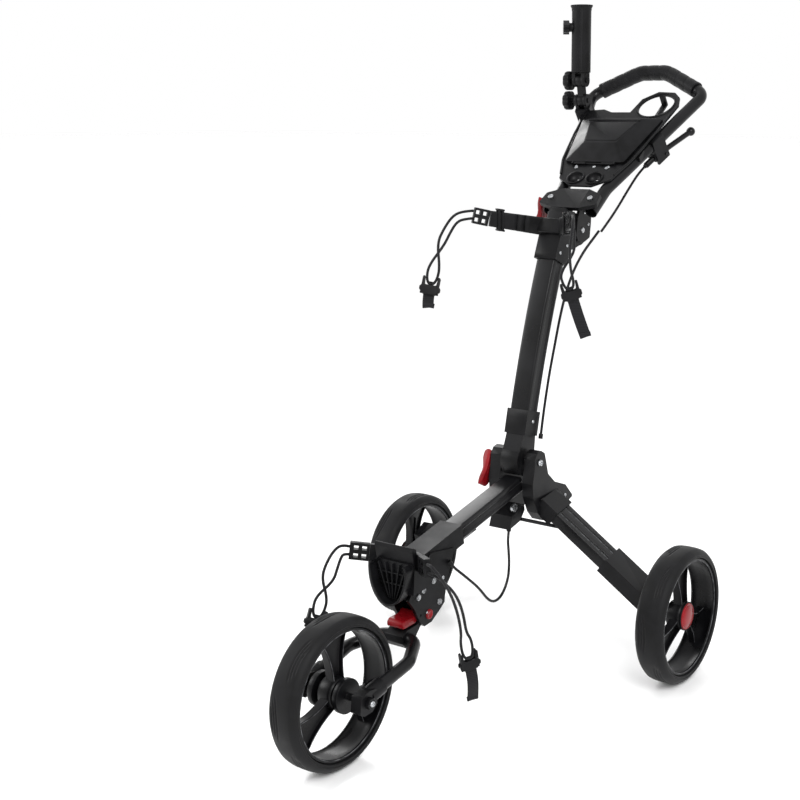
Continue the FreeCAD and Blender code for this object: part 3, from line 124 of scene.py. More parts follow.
# ------------------------------------------------------------------ surfaces
def add_piece(name, verts, faces, body, material, replaces=(), slot=None, sharp=38.0):
    """Mesh object at the origin from working-frame vertices, riding on a body of the cart."""
    mesh = bpy.data.meshes.new(name)
    mesh.from_pydata(row(verts).tolist(), [], faces)
    work = bmesh.new()
    work.from_mesh(mesh)
    bmesh.ops.remove_doubles(work, verts=work.verts, dist=1e-6)
    bmesh.ops.recalc_face_normals(work, faces=work.faces)
    work.to_mesh(mesh)
    work.free()
    mesh.polygons.foreach_set("use_smooth", np.ones(len(mesh.polygons), bool))
    mesh.set_sharp_from_angle(angle=math.radians(sharp))
    piece = bpy.data.objects.new(name, mesh)
    bpy.context.scene.collection.objects.link(piece)
    mesh.materials.append(bpy.data.materials[material])
    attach(piece, body)
    if replaces:
        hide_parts(*replaces)
    return piece


def grid(points, close_u=False, close_v=True):
    """Quads over a grid of points (rows u, columns v); where the rows stay open, a face fills
    the first and the last."""
    rows, columns = points.shape[:2]
    index = np.arange(rows * columns).reshape(rows, columns)
    if close_u:
        index = np.vstack([index, index[:1]])
    if close_v:
        index = np.hstack([index, index[:, :1]])
    quads = np.stack([index[:-1, :-1], index[:-1, 1:], index[1:, 1:], index[1:, :-1]], -1)
    faces = quads.reshape(-1, 4).tolist()
    if not close_u:
        faces += [index[0, :columns][::-1].tolist(), index[-1, :columns].tolist()]
    return points.reshape(-1, 3), faces


def joined(parts):
    """Several (vertices, faces) shells as one."""
    verts, faces, start = [], [], 0
    for part_verts, part_faces in parts:
        verts.append(part_verts)
        faces += [[start + i for i in face] for face in part_faces]
        start += len(part_verts)
    return np.vstack(verts), faces


def turned(profile, origin, axis, steps=64, closed=True):
    """Profile (radius, height) carried round an axis; a closed profile makes a ring."""
    profile = np.asarray(profile, float)
    angle = np.linspace(0, 2 * np.pi, steps, endpoint=False)[:, None]
    local = np.stack([profile[:, 0] * np.cos(angle), profile[:, 0] * np.sin(angle),
                      profile[:, 1] + 0 * angle], -1)
    reference = UP if abs(unit(axis)[2]) < 0.9 else ACROSS
    return grid(put(local, origin, axis, reference), close_u=True, close_v=closed)


def swept(path, section, up):
    """Section (side, up) carried along a path, kept upright to the given direction.

    The section may be one ring or one ring for each point of the path."""
    path = np.asarray(path, float)
    along = unit(np.gradient(path, axis=0))
    side = unit(np.cross(along, np.broadcast_to(up, along.shape)))
    rise = np.cross(side, along)
    section = np.asarray(section, float)
    if section.ndim == 2:
        section = np.broadcast_to(section, (len(path),) + section.shape)
    points = (path[:, None] + side[:, None] * section[..., :1] + rise[:, None] * section[..., 1:])
    return grid(points)


def ring(radius, steps=24):
    """Circle as (side, up) points."""
    angle = np.linspace(0, 2 * np.pi, steps, endpoint=False)
    return radius * np.stack([np.cos(angle), np.sin(angle)], -1)


SQUARE = ((-1, -1), (1, -1), (1, 1), (-1, 1))


def oblong(half_wide, half_deep):
    """Corners of a rectangle about its middle."""
    return np.array(SQUARE, float) * (half_wide, half_deep)


def fillet(points, radius, steps=5, most=0.46):
    """Closed outline whose corners become arcs; each arc is a quadratic curve between tangents
    that start at the radius, or at a share of the shorter edge, from its corner."""
    points = np.asarray(points, float)
    before, after = np.roll(points, 1, 0) - points, np.roll(points, -1, 0) - points
    reach = np.minimum(np.minimum(np.linalg.norm(before, axis=1),
                                  np.linalg.norm(after, axis=1)) * most, radius)[:, None]
    first, last = points + unit(before) * reach, points + unit(after) * reach
    share = np.linspace(0, 1, steps)[None, :, None]
    curve = (first[:, None] * (1 - share) ** 2 + points[:, None] * 2 * share * (1 - share)
             + last[:, None] * share ** 2)
    return curve.reshape(-1, points.shape[1])


def inset(outline, amount):
    """Closed outline moved inwards along its vertex normals."""
    edge = unit(np.roll(outline, -1, 0) - np.roll(outline, 1, 0))
    area = np.sum(outline[:, 0] * np.roll(outline[:, 1], -1)
                  - outline[:, 1] * np.roll(outline[:, 0], -1))
    normal = np.stack([-edge[:, 1], edge[:, 0]], -1) * np.sign(area)
    return outline + normal * amount


def slab(outline, thick, edge, origin, z_axis, x_axis, steps=3):
    """Plate of an outline whose rims are quarter rounds: ring inset is edge (1 - sin a)."""
    outline = np.asarray(outline, float)
    angle = np.linspace(0, np.pi / 2, steps + 1)
    pull = edge * (1 - np.sin(angle))
    height = thick / 2 - edge * (1 - np.cos(angle))
    pull, height = np.append(pull, pull[::-1]), np.append(height, -height[::-1])
    rings = np.stack([np.column_stack([inset(outline, p), np.full(len(outline), h)])
                      for p, h in zip(pull, height)])
    return grid(put(rings, origin, z_axis, x_axis))


def side_slab(outline, thick, edge, x, steps=3):
    """Slab whose outline is in (Y, Z) and whose thickness runs across the cart."""
    return slab(outline, thick, edge, (x, 0, 0), ACROSS, (0, 1, 0), steps)


def beam(start, end, wide, deep, across, edge=2.0, corner=4.0):
    """Rounded bar between two points: wide runs along across."""
    start, end = np.asarray(start, float), np.asarray(end, float)
    along = end - start
    return slab(fillet(oblong(wide / 2, deep / 2), corner), np.linalg.norm(along), edge,
                (start + end) / 2, along, across)


def cross_bar(middle, reach, *sizes):
    """Beam that reaches equally far to both sides of its middle."""
    return beam(middle - reach, middle + reach, *sizes)


def arc_path(points, radii, step=3.0):
    """Straight runs joined by tangent arcs, sampled every few millimetres."""
    points = [np.asarray(p, float) for p in points]
    out = [points[0][None]]
    for before, corner, after, radius in zip(points, points[1:], points[2:], radii):
        one, two = unit(before - corner), unit(after - corner)
        half = math.acos(np.clip(one @ two, -1, 1)) / 2
        middle = unit(one + two)
        centre = corner + middle * radius / math.sin(half)
        sweep = math.pi / 2 - half
        angle = np.linspace(-sweep, sweep, max(4, int(2 * sweep * radius / step)))[:, None]
        sideways = unit(two - one)
        out.append(centre - middle * radius * np.cos(angle) + sideways * radius * np.sin(angle))
    out.append(points[-1][None])
    path = np.vstack(out)
    length = np.append(0, np.cumsum(np.linalg.norm(np.diff(path, axis=0), axis=1)))
    even = np.linspace(0, length[-1], max(8, int(length[-1] / step)))
    return np.stack([np.interp(even, length, path[:, k]) for k in range(3)], -1)


def along_upper(distance, back=0.0, x=0.0):
    """Point on the curved upper tube: an arc that leans back further from foot to top."""
    tilt = np.radians(UPPER_LEAN + UPPER_BEND * np.asarray(distance, float) / UPPER_LENGTH)
    start = np.radians(UPPER_LEAN)
    radius = UPPER_LENGTH / np.radians(UPPER_BEND)
    neck = KNEE + np.array([0, math.sin(start), math.cos(start)]) * UPPER_NECK
    centre = neck + np.array([0, math.cos(start), -math.sin(start)]) * radius
    out = np.stack([0 * tilt, np.cos(tilt), -np.sin(tilt)], -1)
    return centre - out * (radius - back) + np.array([x, 0, 0])


def bag_arm_direction(side):
    """Direction of one arm of the upper bag rest."""
    return unit((side * 0.62, -0.76, 0.16))


# ------------------------------------------------------------------ materials
def linear(code):
    """sRGB hex to linear RGBA."""
    value = np.array([int(code[i:i + 2], 16) for i in (0, 2, 4)]) / 255.0
    value = np.where(value <= 0.04045, value / 12.92, ((value + 0.055) / 1.055) ** 2.4)
    return (*value.tolist(), 1.0)


def node(tree, kind, links=(), inputs=(), **settings):
    """One node with its settings; inputs are (name or number, value), links (name, socket)."""
    made = tree.nodes.new("ShaderNode" + kind)
    for key, value in settings.items():
        setattr(made, key, value)
    for key, value in inputs:
        made.inputs[key].default_value = value
    for key, socket in links:
        tree.links.new(socket, made.inputs[key])
    return made


# A pattern is (kind, size in millimetres, detail or distortion).  Each kind has its node, its
# output, the scale that makes one repeat as long as the size, its third input and its settings
PATTERNS = {
    "noise": ("TexNoise", 0, 1.0, "Detail", {}),
    "cells": ("TexVoronoi", "Distance", 1.0, "Detail", {}),
    "ribs": ("TexWave", "Fac", 1 / 6.283, "Distortion", {"bands_direction": "Z"})}
MIDDLE = (0.35, 0.65)
METAL = {"Metallic": 1.0, "Specular IOR Level": 0.5}


def surface(name, dark, light, rough, tone=None, span=MIDDLE, relief=None, **plain):
    """Principled finish.  The tone pattern, stretched from span to 0..1, mixes the two colours,
    and carries the roughness over a pair; relief is (strength, depth in mm, pattern)."""
    material = bpy.data.materials.new(name)
    material.use_nodes = True
    tree = material.node_tree
    shader = tree.nodes["Principled BSDF"]
    values = {"Base Color": linear(dark), "Specular IOR Level": 0.17, "Coat Roughness": 0.12,
              "Roughness": rough if np.isscalar(rough) else rough[0], **plain}
    for socket, value in values.items():
        shader.inputs[socket].default_value = value
    if tone is None:
        return
    coords = node(tree, "TexCoord").outputs["Object"]
    drawn = []
    for kind, size, third in (tone, relief[2] if relief else tone):
        kind, output, cycles, name_of_third, settings = PATTERNS[kind]
        drawn.append(node(tree, kind, [("Vector", coords)],
                          [("Scale", cycles / (size * MM)), (name_of_third, third)],
                          **settings).outputs[output])
    factor = node(tree, "MapRange", [("Value", drawn[0])],
                  [("From Min", span[0]), ("From Max", span[1])]).outputs[0]
    blend = node(tree, "Mix", [(0, factor)], [(6, linear(dark)), (7, linear(light))],
                 data_type="RGBA")
    tree.links.new(blend.outputs[2], shader.inputs["Base Color"])
    if not np.isscalar(rough):
        shine = node(tree, "MapRange", [("Value", drawn[0])],
                     [("From Min", MIDDLE[0]), ("From Max", MIDDLE[1]), ("To Min", rough[0]),
                      ("To Max", rough[1])])
        tree.links.new(shine.outputs[0], shader.inputs["Roughness"])
    if relief:
        bump = node(tree, "Bump", [("Height", drawn[1])],
                    [("Strength", relief[0]), ("Distance", relief[1] * MM)])
        tree.links.new(bump.outputs[0], shader.inputs["Normal"])


def make_materials(chosen):
    """Every finish of the cart, named for its real material and process."""
    cloudy = ("noise", 38.0, 4.0)
    # Glass-filled nylon brackets, spark-eroded mould: broad soft highlights, faint cloudy wear
    surface("nylon_moulded_black", chosen.plastic_dark, chosen.plastic_light, (0.37, 0.49), cloudy,
            relief=(0.35, 0.12, ("noise", 1.4, 2.0)))
    # ABS tray and lid with a finer texture
    surface("abs_textured_black", chosen.plastic_dark, "141416", (0.31, 0.43), cloudy,
            relief=(0.35, 0.08, ("noise", 1.0, 2.0)))
    # Rim: polypropylene, smoother and slightly shinier
    surface("pp_rim_black", "070708", "0e0e10", (0.25, 0.37), cloudy,
            relief=(0.35, 0.05, ("noise", 2.0, 2.0)))
    # Red levers and caps: glossy dyed plastic with shallow flow marks
    surface("abs_red_gloss", chosen.red, "8c121b", (0.25, 0.37), cloudy,
            relief=(0.35, 0.03, ("noise", 3.0, 2.0)), **{"Coat Weight": 0.1})
    # Aluminium tube, satin black powder coat: orange peel about 2 mm across
    surface("aluminium_powder_coat", chosen.tube, "111113", (0.26, 0.36), ("noise", 60.0, 3.0),
            relief=(0.2, 0.06, ("noise", 2.2, 1.0)), **{"Coat Weight": 0.12})
    # EVA foam tyre: closed cell skin, dull, with scuffs that lighten it
    surface("eva_foam_tyre", chosen.tyre, "161618", (0.50, 0.64), ("noise", 26.0, 6.0), (0.4, 0.75),
            relief=(0.3, 0.12, ("noise", 1.6, 2.0)), **{"Sheen Weight": 0.03})
    # Stainless fasteners: turned, with small stains
    surface("stainless_turned", "8f9194", "cfd1d3", (0.2, 0.4), ("noise", 3.0, 4.0), **METAL)
    # Painted highlight: paler satin lines on the rim's lip and the crests of its ribs, standing in
    # for light glinting on those edges
    surface("pp_rubbed_edge", "1c1c1e", "6c6d70", 0.4, ("noise", 14.0, 4.0))
    # Painted highlight: thin light metal lines along the extrusion's rib edges, standing in for
    # light caught there
    surface("aluminium_polished", "4c4e50", "8c8e91", 0.36, ("noise", 5.0, 3.0), **METAL)
    # Grip tape: stitched synthetic leather, pebble grain 1.8 mm
    surface("leather_tape_wrapped", "0b0b0c", "141416", (0.4, 0.55), ("noise", 30.0, 4.0),
            relief=(0.5, 0.25, ("cells", 1.8, 0.0)), **{"Sheen Weight": 0.05})
    # Elastic cord: braided polyester sleeve, drawn coarser (2.4 mm picks) so that it shows
    picks = ("cells", 2.4, 0.0)
    surface("polyester_braid", "202023", "0d0d0f", 0.62, picks, (0.1, 0.6),
            relief=(0.6, 0.4, picks), **{"Sheen Weight": 0.1})
    # Nylon webbing: ribbed across every 1.5 mm
    picks = ("ribs", 1.5, 0.6)
    surface("nylon_webbing", "0d0d0f", "1c1c1f", 0.66, picks, (0.0, 1.0),
            relief=(0.5, 0.3, picks), **{"Sheen Weight": 0.08})
    # Brake cable: extruded PVC jacket
    surface("pvc_jacket", "0c0c0e", "161618", (0.25, 0.38), ("noise", 12.0, 3.0))
    # Studio floor: plain and faintly glossy
    surface("studio_floor", "ffffff", "ffffff", 0.22, **{"Specular IOR Level": 0.3})


# ------------------------------------------------------------------ wheels
def tyre_grooves(angle, height, radius, depth):
    """Groove depth over the tread: three nested crescents in each of eight groups.

    A crescent is height = middle + slope s + bow s s over arc length s, cut as a Gaussian."""
    groups, cut = 8, 0.0
    for k in range(groups):
        side = 1 if k % 2 else -1
        arc = (np.mod(angle - 2 * np.pi * k / groups + np.pi, 2 * np.pi) - np.pi) * radius
        for line in range(3):
            reach = 34.0 - 6.0 * line
            centre = side * (4.0 + 5.2 * line)
            track = centre + side * (0.0034 * arc ** 2 - 0.05 * arc)
            inside = 1 / (1 + np.exp((np.abs(arc) - reach) / 2.0))
            cut = np.maximum(cut, depth * inside * np.exp(-((height - track) / 1.25) ** 2))
    return cut


def tyre(centre, outward, depth):
    """Foam tyre: crowned tread, round shoulders, a bead line on each side."""
    crown, half = WHEEL_RADIUS, TYRE_HALF
    tread = np.linspace(-half + 9, half - 9, 34)
    drop = 1.6 * (np.abs(tread) / (half - 9)) ** 3
    side = [(crown - 4.0, half - 5.6), (crown - 6.6, half - 2.6), (crown - 9.6, half - 0.7),
            (crown - 11.8, half - 0.1), (crown - 12.6, half - 0.9), (crown - 13.6, half - 1.2),
            (crown - 14.6, half - 0.5), (crown - 16.6, half - 1.2), (crown - 16.9, half - 3)]
    profile = ([(r, -h) for r, h in side[::-1]] + list(zip(crown - 0.02 - drop, tread)) + side)
    profile = np.array(profile)
    angle = np.linspace(0, 2 * np.pi, 620, endpoint=False)[:, None]
    on_tread = np.abs(profile[:, 1]) < half - 4.5
    radius = profile[:, 0] - tyre_grooves(angle, profile[:, 1], crown, depth) * on_tread
    local = np.stack([radius * np.cos(angle), radius * np.sin(angle),
                      profile[:, 1] + 0 * angle], -1)
    return grid(put(local, centre, outward, UP), close_u=True)


RIM_TOP = WHEEL_RADIUS - 17.0
SPOKE_ROOT, SPOKES = 22.0, 3


def spoke_lines(share):
    """Along a spoke from hub to barrel: distance out, half width 11.5 + 27 s^2.4, height of its
    web 4 - 8 s^1.3, and half height of its edge ribs 8.5 - 3 s."""
    return (SPOKE_ROOT + share * (RIM_TOP - 4.0 - SPOKE_ROOT), 11.5 + 27.0 * share ** 2.4,
            4.0 - 8.0 * share ** 1.3, 8.5 - 3.0 * share)


def rim(centre, outward, turn):
    """Deep barrel, hub, and three dished spokes, each edged by two raised ribs."""
    half_barrel = [(-0.1, 22.6), (-1.6, 24.0), (-4.4, 24.3), (-6.3, 23.3), (-6.8, 21.4),
                   (-5.4, 19.0), (-4.8, 8.0)]
    barrel = [(RIM_TOP + r, -h) for r, h in half_barrel[:1]]
    barrel += [(RIM_TOP + r, h) for r, h in half_barrel]
    barrel += [(RIM_TOP + r, -h) for r, h in half_barrel[:0:-1]]
    hub = [(6.1, -14.6), (19, -14.6), (24.6, -13.4), (27.0, -9.0), (27.0, 9.0),
           (26.0, 12.8), (24.4, 14.6), (6.1, 14.6)]
    parts = [turned(barrel, centre, outward, 128), turned(hub, centre, outward, 72)]
    share = np.linspace(0, 1, 26)[:, None]
    reach, half, dish, tall = spoke_lines(share)
    wide, high = fillet(SQUARE, 0.3, 4).T
    # The web sags between its ribs, and a low rib runs along the first two thirds of its middle
    bars = [(half * wide, dish - 4.0 * (1 - wide ** 2) + 1.4 * high)]
    bars += [(side * half + 1.3 * wide, dish + tall * high) for side in (-1, 1)]
    bars.append((1.1 * wide + 0 * half[:18], dish[:18] - 4.0 + (4.2 - 3.0 * share[:18]) * high))
    for k in range(SPOKES):
        angle = turn + 2 * math.pi * k / SPOKES
        away = np.array([math.cos(angle), math.sin(angle), 0.0])
        beside = np.array([-math.sin(angle), math.cos(angle), 0.0])
        for across, height in bars:
            shell = (away * reach[:len(across), :, None] + beside * across[..., None]
                     + UP * height[..., None])
            parts.append(grid(put(shell, centre, outward, UP)))
    return joined(parts)


def rim_glint_lines(centre, outward, turn):
    """Thin raised lines along the rim's two lips and the crests of the spokes' ribs, drawn paler as
    painted highlights.
    """
    lines = [turned(ring(0.55, 10) + (RIM_TOP - 5.4, height), centre, outward, 128)
             for height in (-24.0, 24.0)]
    reach, half, dish, tall = spoke_lines(np.linspace(0.04, 0.97, 26))
    for k in range(SPOKES):
        angle = turn + 2 * math.pi * k / SPOKES
        for side in (-1, 1):
            local = np.stack([reach * math.cos(angle) - side * half * math.sin(angle),
                              reach * math.sin(angle) + side * half * math.cos(angle),
                              dish + tall], -1)
            lines.append(swept(put(local, centre, outward, UP), ring(0.5, 8), outward))
    return joined(lines)


class CartFinish(bpy.types.PropertyGroup):
    """Colours of the cart, as sRGB hex."""
    plastic_dark: bpy.props.StringProperty(
        name="Plastic", description="Moulded plastic in its dark patches", default="09090a")
    plastic_light: bpy.props.StringProperty(
        name="Plastic wear", description="Moulded plastic in its light patches", default="121214")
    tube: bpy.props.StringProperty(
        name="Tube", description="Powder coat of the tubes", default="0a0a0b")
    tyre: bpy.props.StringProperty(name="Tyre", description="Foam tyre", default="0c0c0d")
    red: bpy.props.StringProperty(
        name="Accent", description="Levers, button and hub caps", default="6e0a10")


class CartWheels(bpy.types.PropertyGroup):
    """Sizes of the wheels' detail."""
    groove_depth: bpy.props.FloatProperty(
        name="Groove depth", description="Depth of the tread's crescents in millimetres",
        default=1.5, min=0.0, max=4.0)
    spoke_turn: bpy.props.FloatProperty(
        name="Spoke turn", description="Turn of the first spoke from upright",
        default=0.0, subtype="ANGLE")


class CartStage(bpy.types.PropertyGroup):
    """Camera and light."""
    camera_place: bpy.props.FloatVectorProperty(
        name="Camera", description="Place of the camera", size=3, unit="LENGTH",
        default=(1.3057, -1.9303, 1.0279))
    camera_turn: bpy.props.FloatVectorProperty(
        name="Camera turn", description="Pitch, roll and heading of the camera", size=3,
        subtype="EULER", default=(math.radians(77.7), 0.0, math.radians(34.0)))
    lens: bpy.props.FloatProperty(name="Lens", description="Focal length in millimetres",
                                  default=58.7)
    key_power: bpy.props.FloatProperty(
        name="Key light", description="Power of the large soft light", default=70.0, unit="POWER")


# The lights look at the middle of the cart; the floor runs out of sight (metres)
AIM = Vector((0.0, 0.0, 0.6))
FLOOR_HALF = 60.0


class CART_OT_stage(bpy.types.Operator):
    """Floor, soft lights and the camera"""
    bl_idname = "cart.stage"
    bl_label = "Stage"

    def execute(self, context):
        scene, stage = context.scene, context.scene.cart_stage
        mesh = bpy.data.meshes.new("studio_floor")
        mesh.from_pydata([(x * FLOOR_HALF, y * FLOOR_HALF, 0) for x, y in SQUARE], [],
                         [(0, 1, 2, 3)])
        mesh.materials.append(bpy.data.materials["studio_floor"])
        floor = bpy.data.objects.new("studio_floor", mesh)
        scene.collection.objects.link(floor)
        world = bpy.data.worlds.new("studio_air")
        world.use_nodes = True
        for number, value in enumerate((linear("ffffff"), 1.0)):
            world.node_tree.nodes["Background"].inputs[number].default_value = value
        scene.world = world
        lights = [("key_light", (2.2, -1.6, 2.6), stage.key_power, 1.6),
                  ("fill_light", (-2.4, -1.4, 1.8), stage.key_power * 0.45, 1.4),
                  ("back_light", (-2.4, 2.2, 2.2), stage.key_power * 0.4, 1.4)]
        for name, place, power, width in lights:
            data = bpy.data.lights.new(name, "AREA")
            data.energy, data.size = power, width
            light = bpy.data.objects.new(name, data)
            light.location = place
            light.rotation_euler = (AIM - light.location).to_track_quat("-Z", "Y").to_euler()
            scene.collection.objects.link(light)
        data = bpy.data.cameras.new("camera")
        data.lens, data.sensor_width, data.shift_x = stage.lens, 36.0, -0.125
        camera = bpy.data.objects.new("camera", data)
        camera.location = stage.camera_place
        camera.rotation_euler = stage.camera_turn
        scene.collection.objects.link(camera)
        scene.camera = camera
        scene.view_settings.view_transform = "Standard"
        return {"FINISHED"}


class CART_OT_wheels(bpy.types.Operator):
    """Tyres, rims and hub caps of the three wheels"""
    bl_idname = "cart.wheels"
    bl_label = "Wheels"

    def execute(self, context):
        sizes = context.scene.cart_wheels
        wheels = [("front", "", "front_wheel", 1), ("rear", "_left", "wheel_left", -1),
                  ("rear", "_right", "wheel_right", 1)]
        for prefix, suffix, body, side in wheels:
            centre = middle_of(prefix + "_tyre" + suffix) / MM + (0, SHIFT, 0)
            outward = ACROSS * side
            add_piece(prefix + "_foam_tyre" + suffix, *tyre(centre, outward, sizes.groove_depth),
                      body, "eva_foam_tyre", [prefix + "_tyre" + suffix], "tyre", sharp=60)
            add_piece(prefix + "_spoked_rim" + suffix, *rim(centre, outward, sizes.spoke_turn),
                      body, "pp_rim_black", [prefix + "_rim" + suffix], "black_plastic")
            # Paler lines on the rim's lips and rib crests: painted highlights
            add_piece(prefix + "_rim_glint_lines" + suffix, *rim_glint_lines(centre, outward, sizes.spoke_turn),
                      body, "pp_rubbed_edge")
            if suffix:
                cap = [(0, 15.3), (24.9, 15.3), (24.9, 18.8), (23.6, 20.2), (21.6, 19.6),
                       (20.6, 20.3), (12, 22.0), (0, 22.6)]
                lip = [(25.1, 14.7), (26.8, 14.7), (26.8, 17.8), (26.0, 18.6), (25.1, 17.8)]
                add_piece("dished_cap" + suffix, *turned(cap, centre, outward, 72, closed=False),
                          body, "abs_red_gloss", ["hub_cap" + suffix], "red_plastic")
                add_piece("cap_lip" + suffix, *turned(lip, centre, outward, 72), body,
                          "pp_rim_black")
        return {"FINISHED"}


# ------------------------------------------------------------------ tubes and arms
def channelled(wide, deep, corner, channel, cut):
    """Box section with round corners and a shallow channel down each of its wide sides."""
    a, b = wide / 2, deep / 2
    points = [(-a, -b), (-channel, -b), (-channel + cut, -b + cut), (channel - cut, -b + cut),
              (channel, -b), (a, -b), (a, b), (channel, b), (channel - cut, b - cut),
              (-channel + cut, b - cut), (-channel, b), (-a, b)]
    radii = ([corner] + [0.8] * 4 + [corner]) * 2
    return fillet(points, radii, 6, 0.48)


class CART_OT_tubes(bpy.types.Operator):
    """Upper and lower frame tubes with their channels"""
    bl_idname = "cart.tubes"
    bl_label = "Frame tubes"

    def execute(self, context):
        path = along_upper(np.linspace(0.5, UPPER_LENGTH - 0.5, 60))
        section = channelled(37.8, 39.8, 6.5, 8.0, 1.2)
        add_piece("upper_curved_tube", *swept(path, section, ACROSS), "upper",
                  "aluminium_powder_coat", ["upper_tube"], "powder_coat", sharp=30)
        path = LOWER_START + LOWER_DIR * np.linspace(0.5, 308.5, 12)[:, None]
        section = channelled(28.8, 37.8, 4.0, 6.0, 1.0)
        add_piece("lower_straight_tube", *swept(path, section, ACROSS), "frame",
                  "aluminium_powder_coat", ["lower_tube"], "powder_coat", sharp=30)
        return {"FINISHED"}


class CART_OT_grip(bpy.types.Operator):
    """Grip wrapped in a spiral of stitched tape"""
    bl_idname = "cart.grip"
    bl_label = "Grip"

    def execute(self, context):
        # The bow rises from the handle's corners to a straight top
        bow = [on_handle(side * HANDLE_CORNER[0], HANDLE_CORNER[1]) for side in (-1, 1)]
        top = [on_handle(0, HANDLE_CORNER[1]) + (side * 31.0, 30.0, 46.0) for side in (-1, 1)]
        start, end = [foot + unit(high - foot) * 24 for foot, high in zip(bow, top)]
        path = arc_path([start, *top, end], [50.0, 50.0], 1.2)
        along = np.append(0, np.cumsum(np.linalg.norm(np.diff(path, axis=0), axis=1)))[:, None]
        angle = np.linspace(0, 2 * np.pi, 48, endpoint=False)
        # Tape wound at a 26 mm pitch: each lap swells, and dips where the next one starts
        lap = np.mod(along / 26.0 + angle / (2 * np.pi), 1.0)
        radius = 15.2 + 0.7 * np.sin(np.pi * lap) ** 0.6
        radius = radius - 0.5 * np.exp(-((lap - 0.94) / 0.03) ** 2)
        ends = np.minimum(along, along[-1] - along)
        radius = radius - 1.2 * np.exp(-(ends / 2.0) ** 2)
        section = np.stack([radius * np.cos(angle), radius * np.sin(angle)], -1)
        add_piece("wrapped_grip", *swept(path, section, HANDLE_OUT), "handle",
                  "leather_tape_wrapped", ["handle_grip"], "leather", sharp=70)
        rings = []
        for at, toward in ((path[2], path[8]), (path[-3], path[-9])):
            collar = [(12.1, -3), (15.6, -3), (16.0, -2), (16.0, 2), (15.6, 3), (12.1, 3)]
            rings.append(turned(collar, at, toward - at, 48))
        add_piece("grip_end_rings", *joined(rings), "handle", "nylon_moulded_black")
        return {"FINISHED"}


# Depths in front of the handle's middle plane: tube radius, gap and half the tray's wall, then
# the other half and the lid's gap
TRAY_FRONT = 12.0 + 0.4 + 1.0
TRAY_FACE = TRAY_FRONT + 4.0
LID_BACK = TRAY_FACE + 0.4
LID_HINGE = (97.4, LID_BACK + 2.8)


def lid_ring(low_half, high_half, low, high, front, corner):
    """Rounded four-sided ring parallel to the tray."""
    flat = fillet([(-low_half, low), (low_half, low), (high_half, high), (-high_half, high)],
                  corner, 7)
    return (HANDLE_BASE + ACROSS * flat[:, :1] + HANDLE_UP * flat[:, 1:]
            - HANDLE_OUT * (LID_BACK + front))


class CART_OT_tray(bpy.types.Operator):
    """Lid of the tray with bevelled faces, ball cups and screws"""
    bl_idname = "cart.tray"
    bl_label = "Tray"

    def execute(self, context):
        # Each ring is (low half, high half, low, high, front, corner): a base lip, four slopes
        # and a flat top, with narrow rings that round the ridges between them
        rings = [(64, 90, 102, 241, 0.0, 5), (65.8, 91.8, 101.2, 241.8, 0.8, 6),
                 (65.8, 91.8, 101.2, 241.8, 4.4, 6), (64.6, 90.6, 102.4, 241.0, 5.4, 6),
                 (37.6, 59.6, 138.6, 220.8, 20.4, 5), (36.4, 58.4, 139.8, 219.8, 21.5, 5),
                 (35, 57, 141.4, 218.4, 21.8, 5)]
        shell = np.stack([lid_ring(*r) for r in rings])
        panel = [(36, 54, 146, 206, 21.4, 6), (36, 54, 146, 206, 22.2, 6),
                 (35.2, 53.2, 147, 205, 22.7, 6)]
        raised = np.stack([lid_ring(*r) for r in panel])
        hinge = [(58, 60, 210.5, 214, 21.0, 1.4), (58, 60, 210.5, 214, 22.8, 1.4)]
        ridge = np.stack([lid_ring(*r) for r in hinge])
        hinges = [turned([(1.3, 0), (2.6, 0), (2.6, 25.6), (1.3, 25.6)],
                         on_handle(x, *LID_HINGE), ACROSS, 24) for x in (18.1, -43.7)]
        hinges += [beam(on_handle(x - 12.6, 100.0, LID_BACK + 2.2),
                        on_handle(x + 12.6, 100.0, LID_BACK + 2.2), 4.4, 3.4, HANDLE_UP, 0.4, 0.8)
                   for x in (30.9, -30.9)]
        hinges.append(turned([(0, 0), (1.3, 0), (1.3, 99.4), (0, 99.4)],
                             on_handle(-49.7, *LID_HINGE), ACROSS, 16, closed=False))
        add_piece("bevelled_lid", *joined([grid(shell), grid(raised), grid(ridge)] + hinges), "lid",
                  "abs_textured_black", ["tray_lid"], "black_plastic", sharp=22)
        cups = []
        cup = [(16.2, -1), (17.6, -1), (19.4, 0.4), (19.0, 2.2), (17.0, 2.6), (15.4, 1.6),
               (14.2, -3), (11.4, -7.4), (7.4, -9.6), (7.4, -11.2), (12.6, -8.6), (15.8, -3)]
        for side in (-1, 1):
            centre = on_handle(21.0 * side, 56.0, TRAY_FACE)
            cups.append(turned(cup, centre, -HANDLE_OUT, 56))
            cups.append(slab(fillet(oblong(14, 2), 1.2), 2.4, 0.6,
                             centre + HANDLE_OUT * 8.6, -HANDLE_OUT, ACROSS))
        ring_lip = [(37.2, -4.6), (39, -5), (40.6, -3.4), (41.4, 0.6), (40.0, 2.4), (38.2, 2.0),
                    (37.2, 0)]
        cups.append(turned(ring_lip, on_handle(53.0, 292.0, TRAY_FACE), -HANDLE_OUT, 96))
        for side in (-1, 1):
            rib = [on_handle(side * x, up, TRAY_FACE + 1.0)
                   for x, up in ((60, 66), (78, 112), (92, 196), (98, 262))]
            cups.append(swept(arc_path(rib, [60.0, 90.0]), fillet(oblong(2.2, 1.6), 1.0),
                              HANDLE_OUT))
        add_piece("tray_cups_and_rims", *joined(cups), "handle", "abs_textured_black")
        screws = [bolt(on_handle(x, 91.0, TRAY_FACE), -HANDLE_OUT, 3.4)
                  for x in (-36.0, 4.0, 36.0)]
        add_piece("tray_screws", *joined(screws), "handle", "stainless_turned")
        return {"FINISHED"}


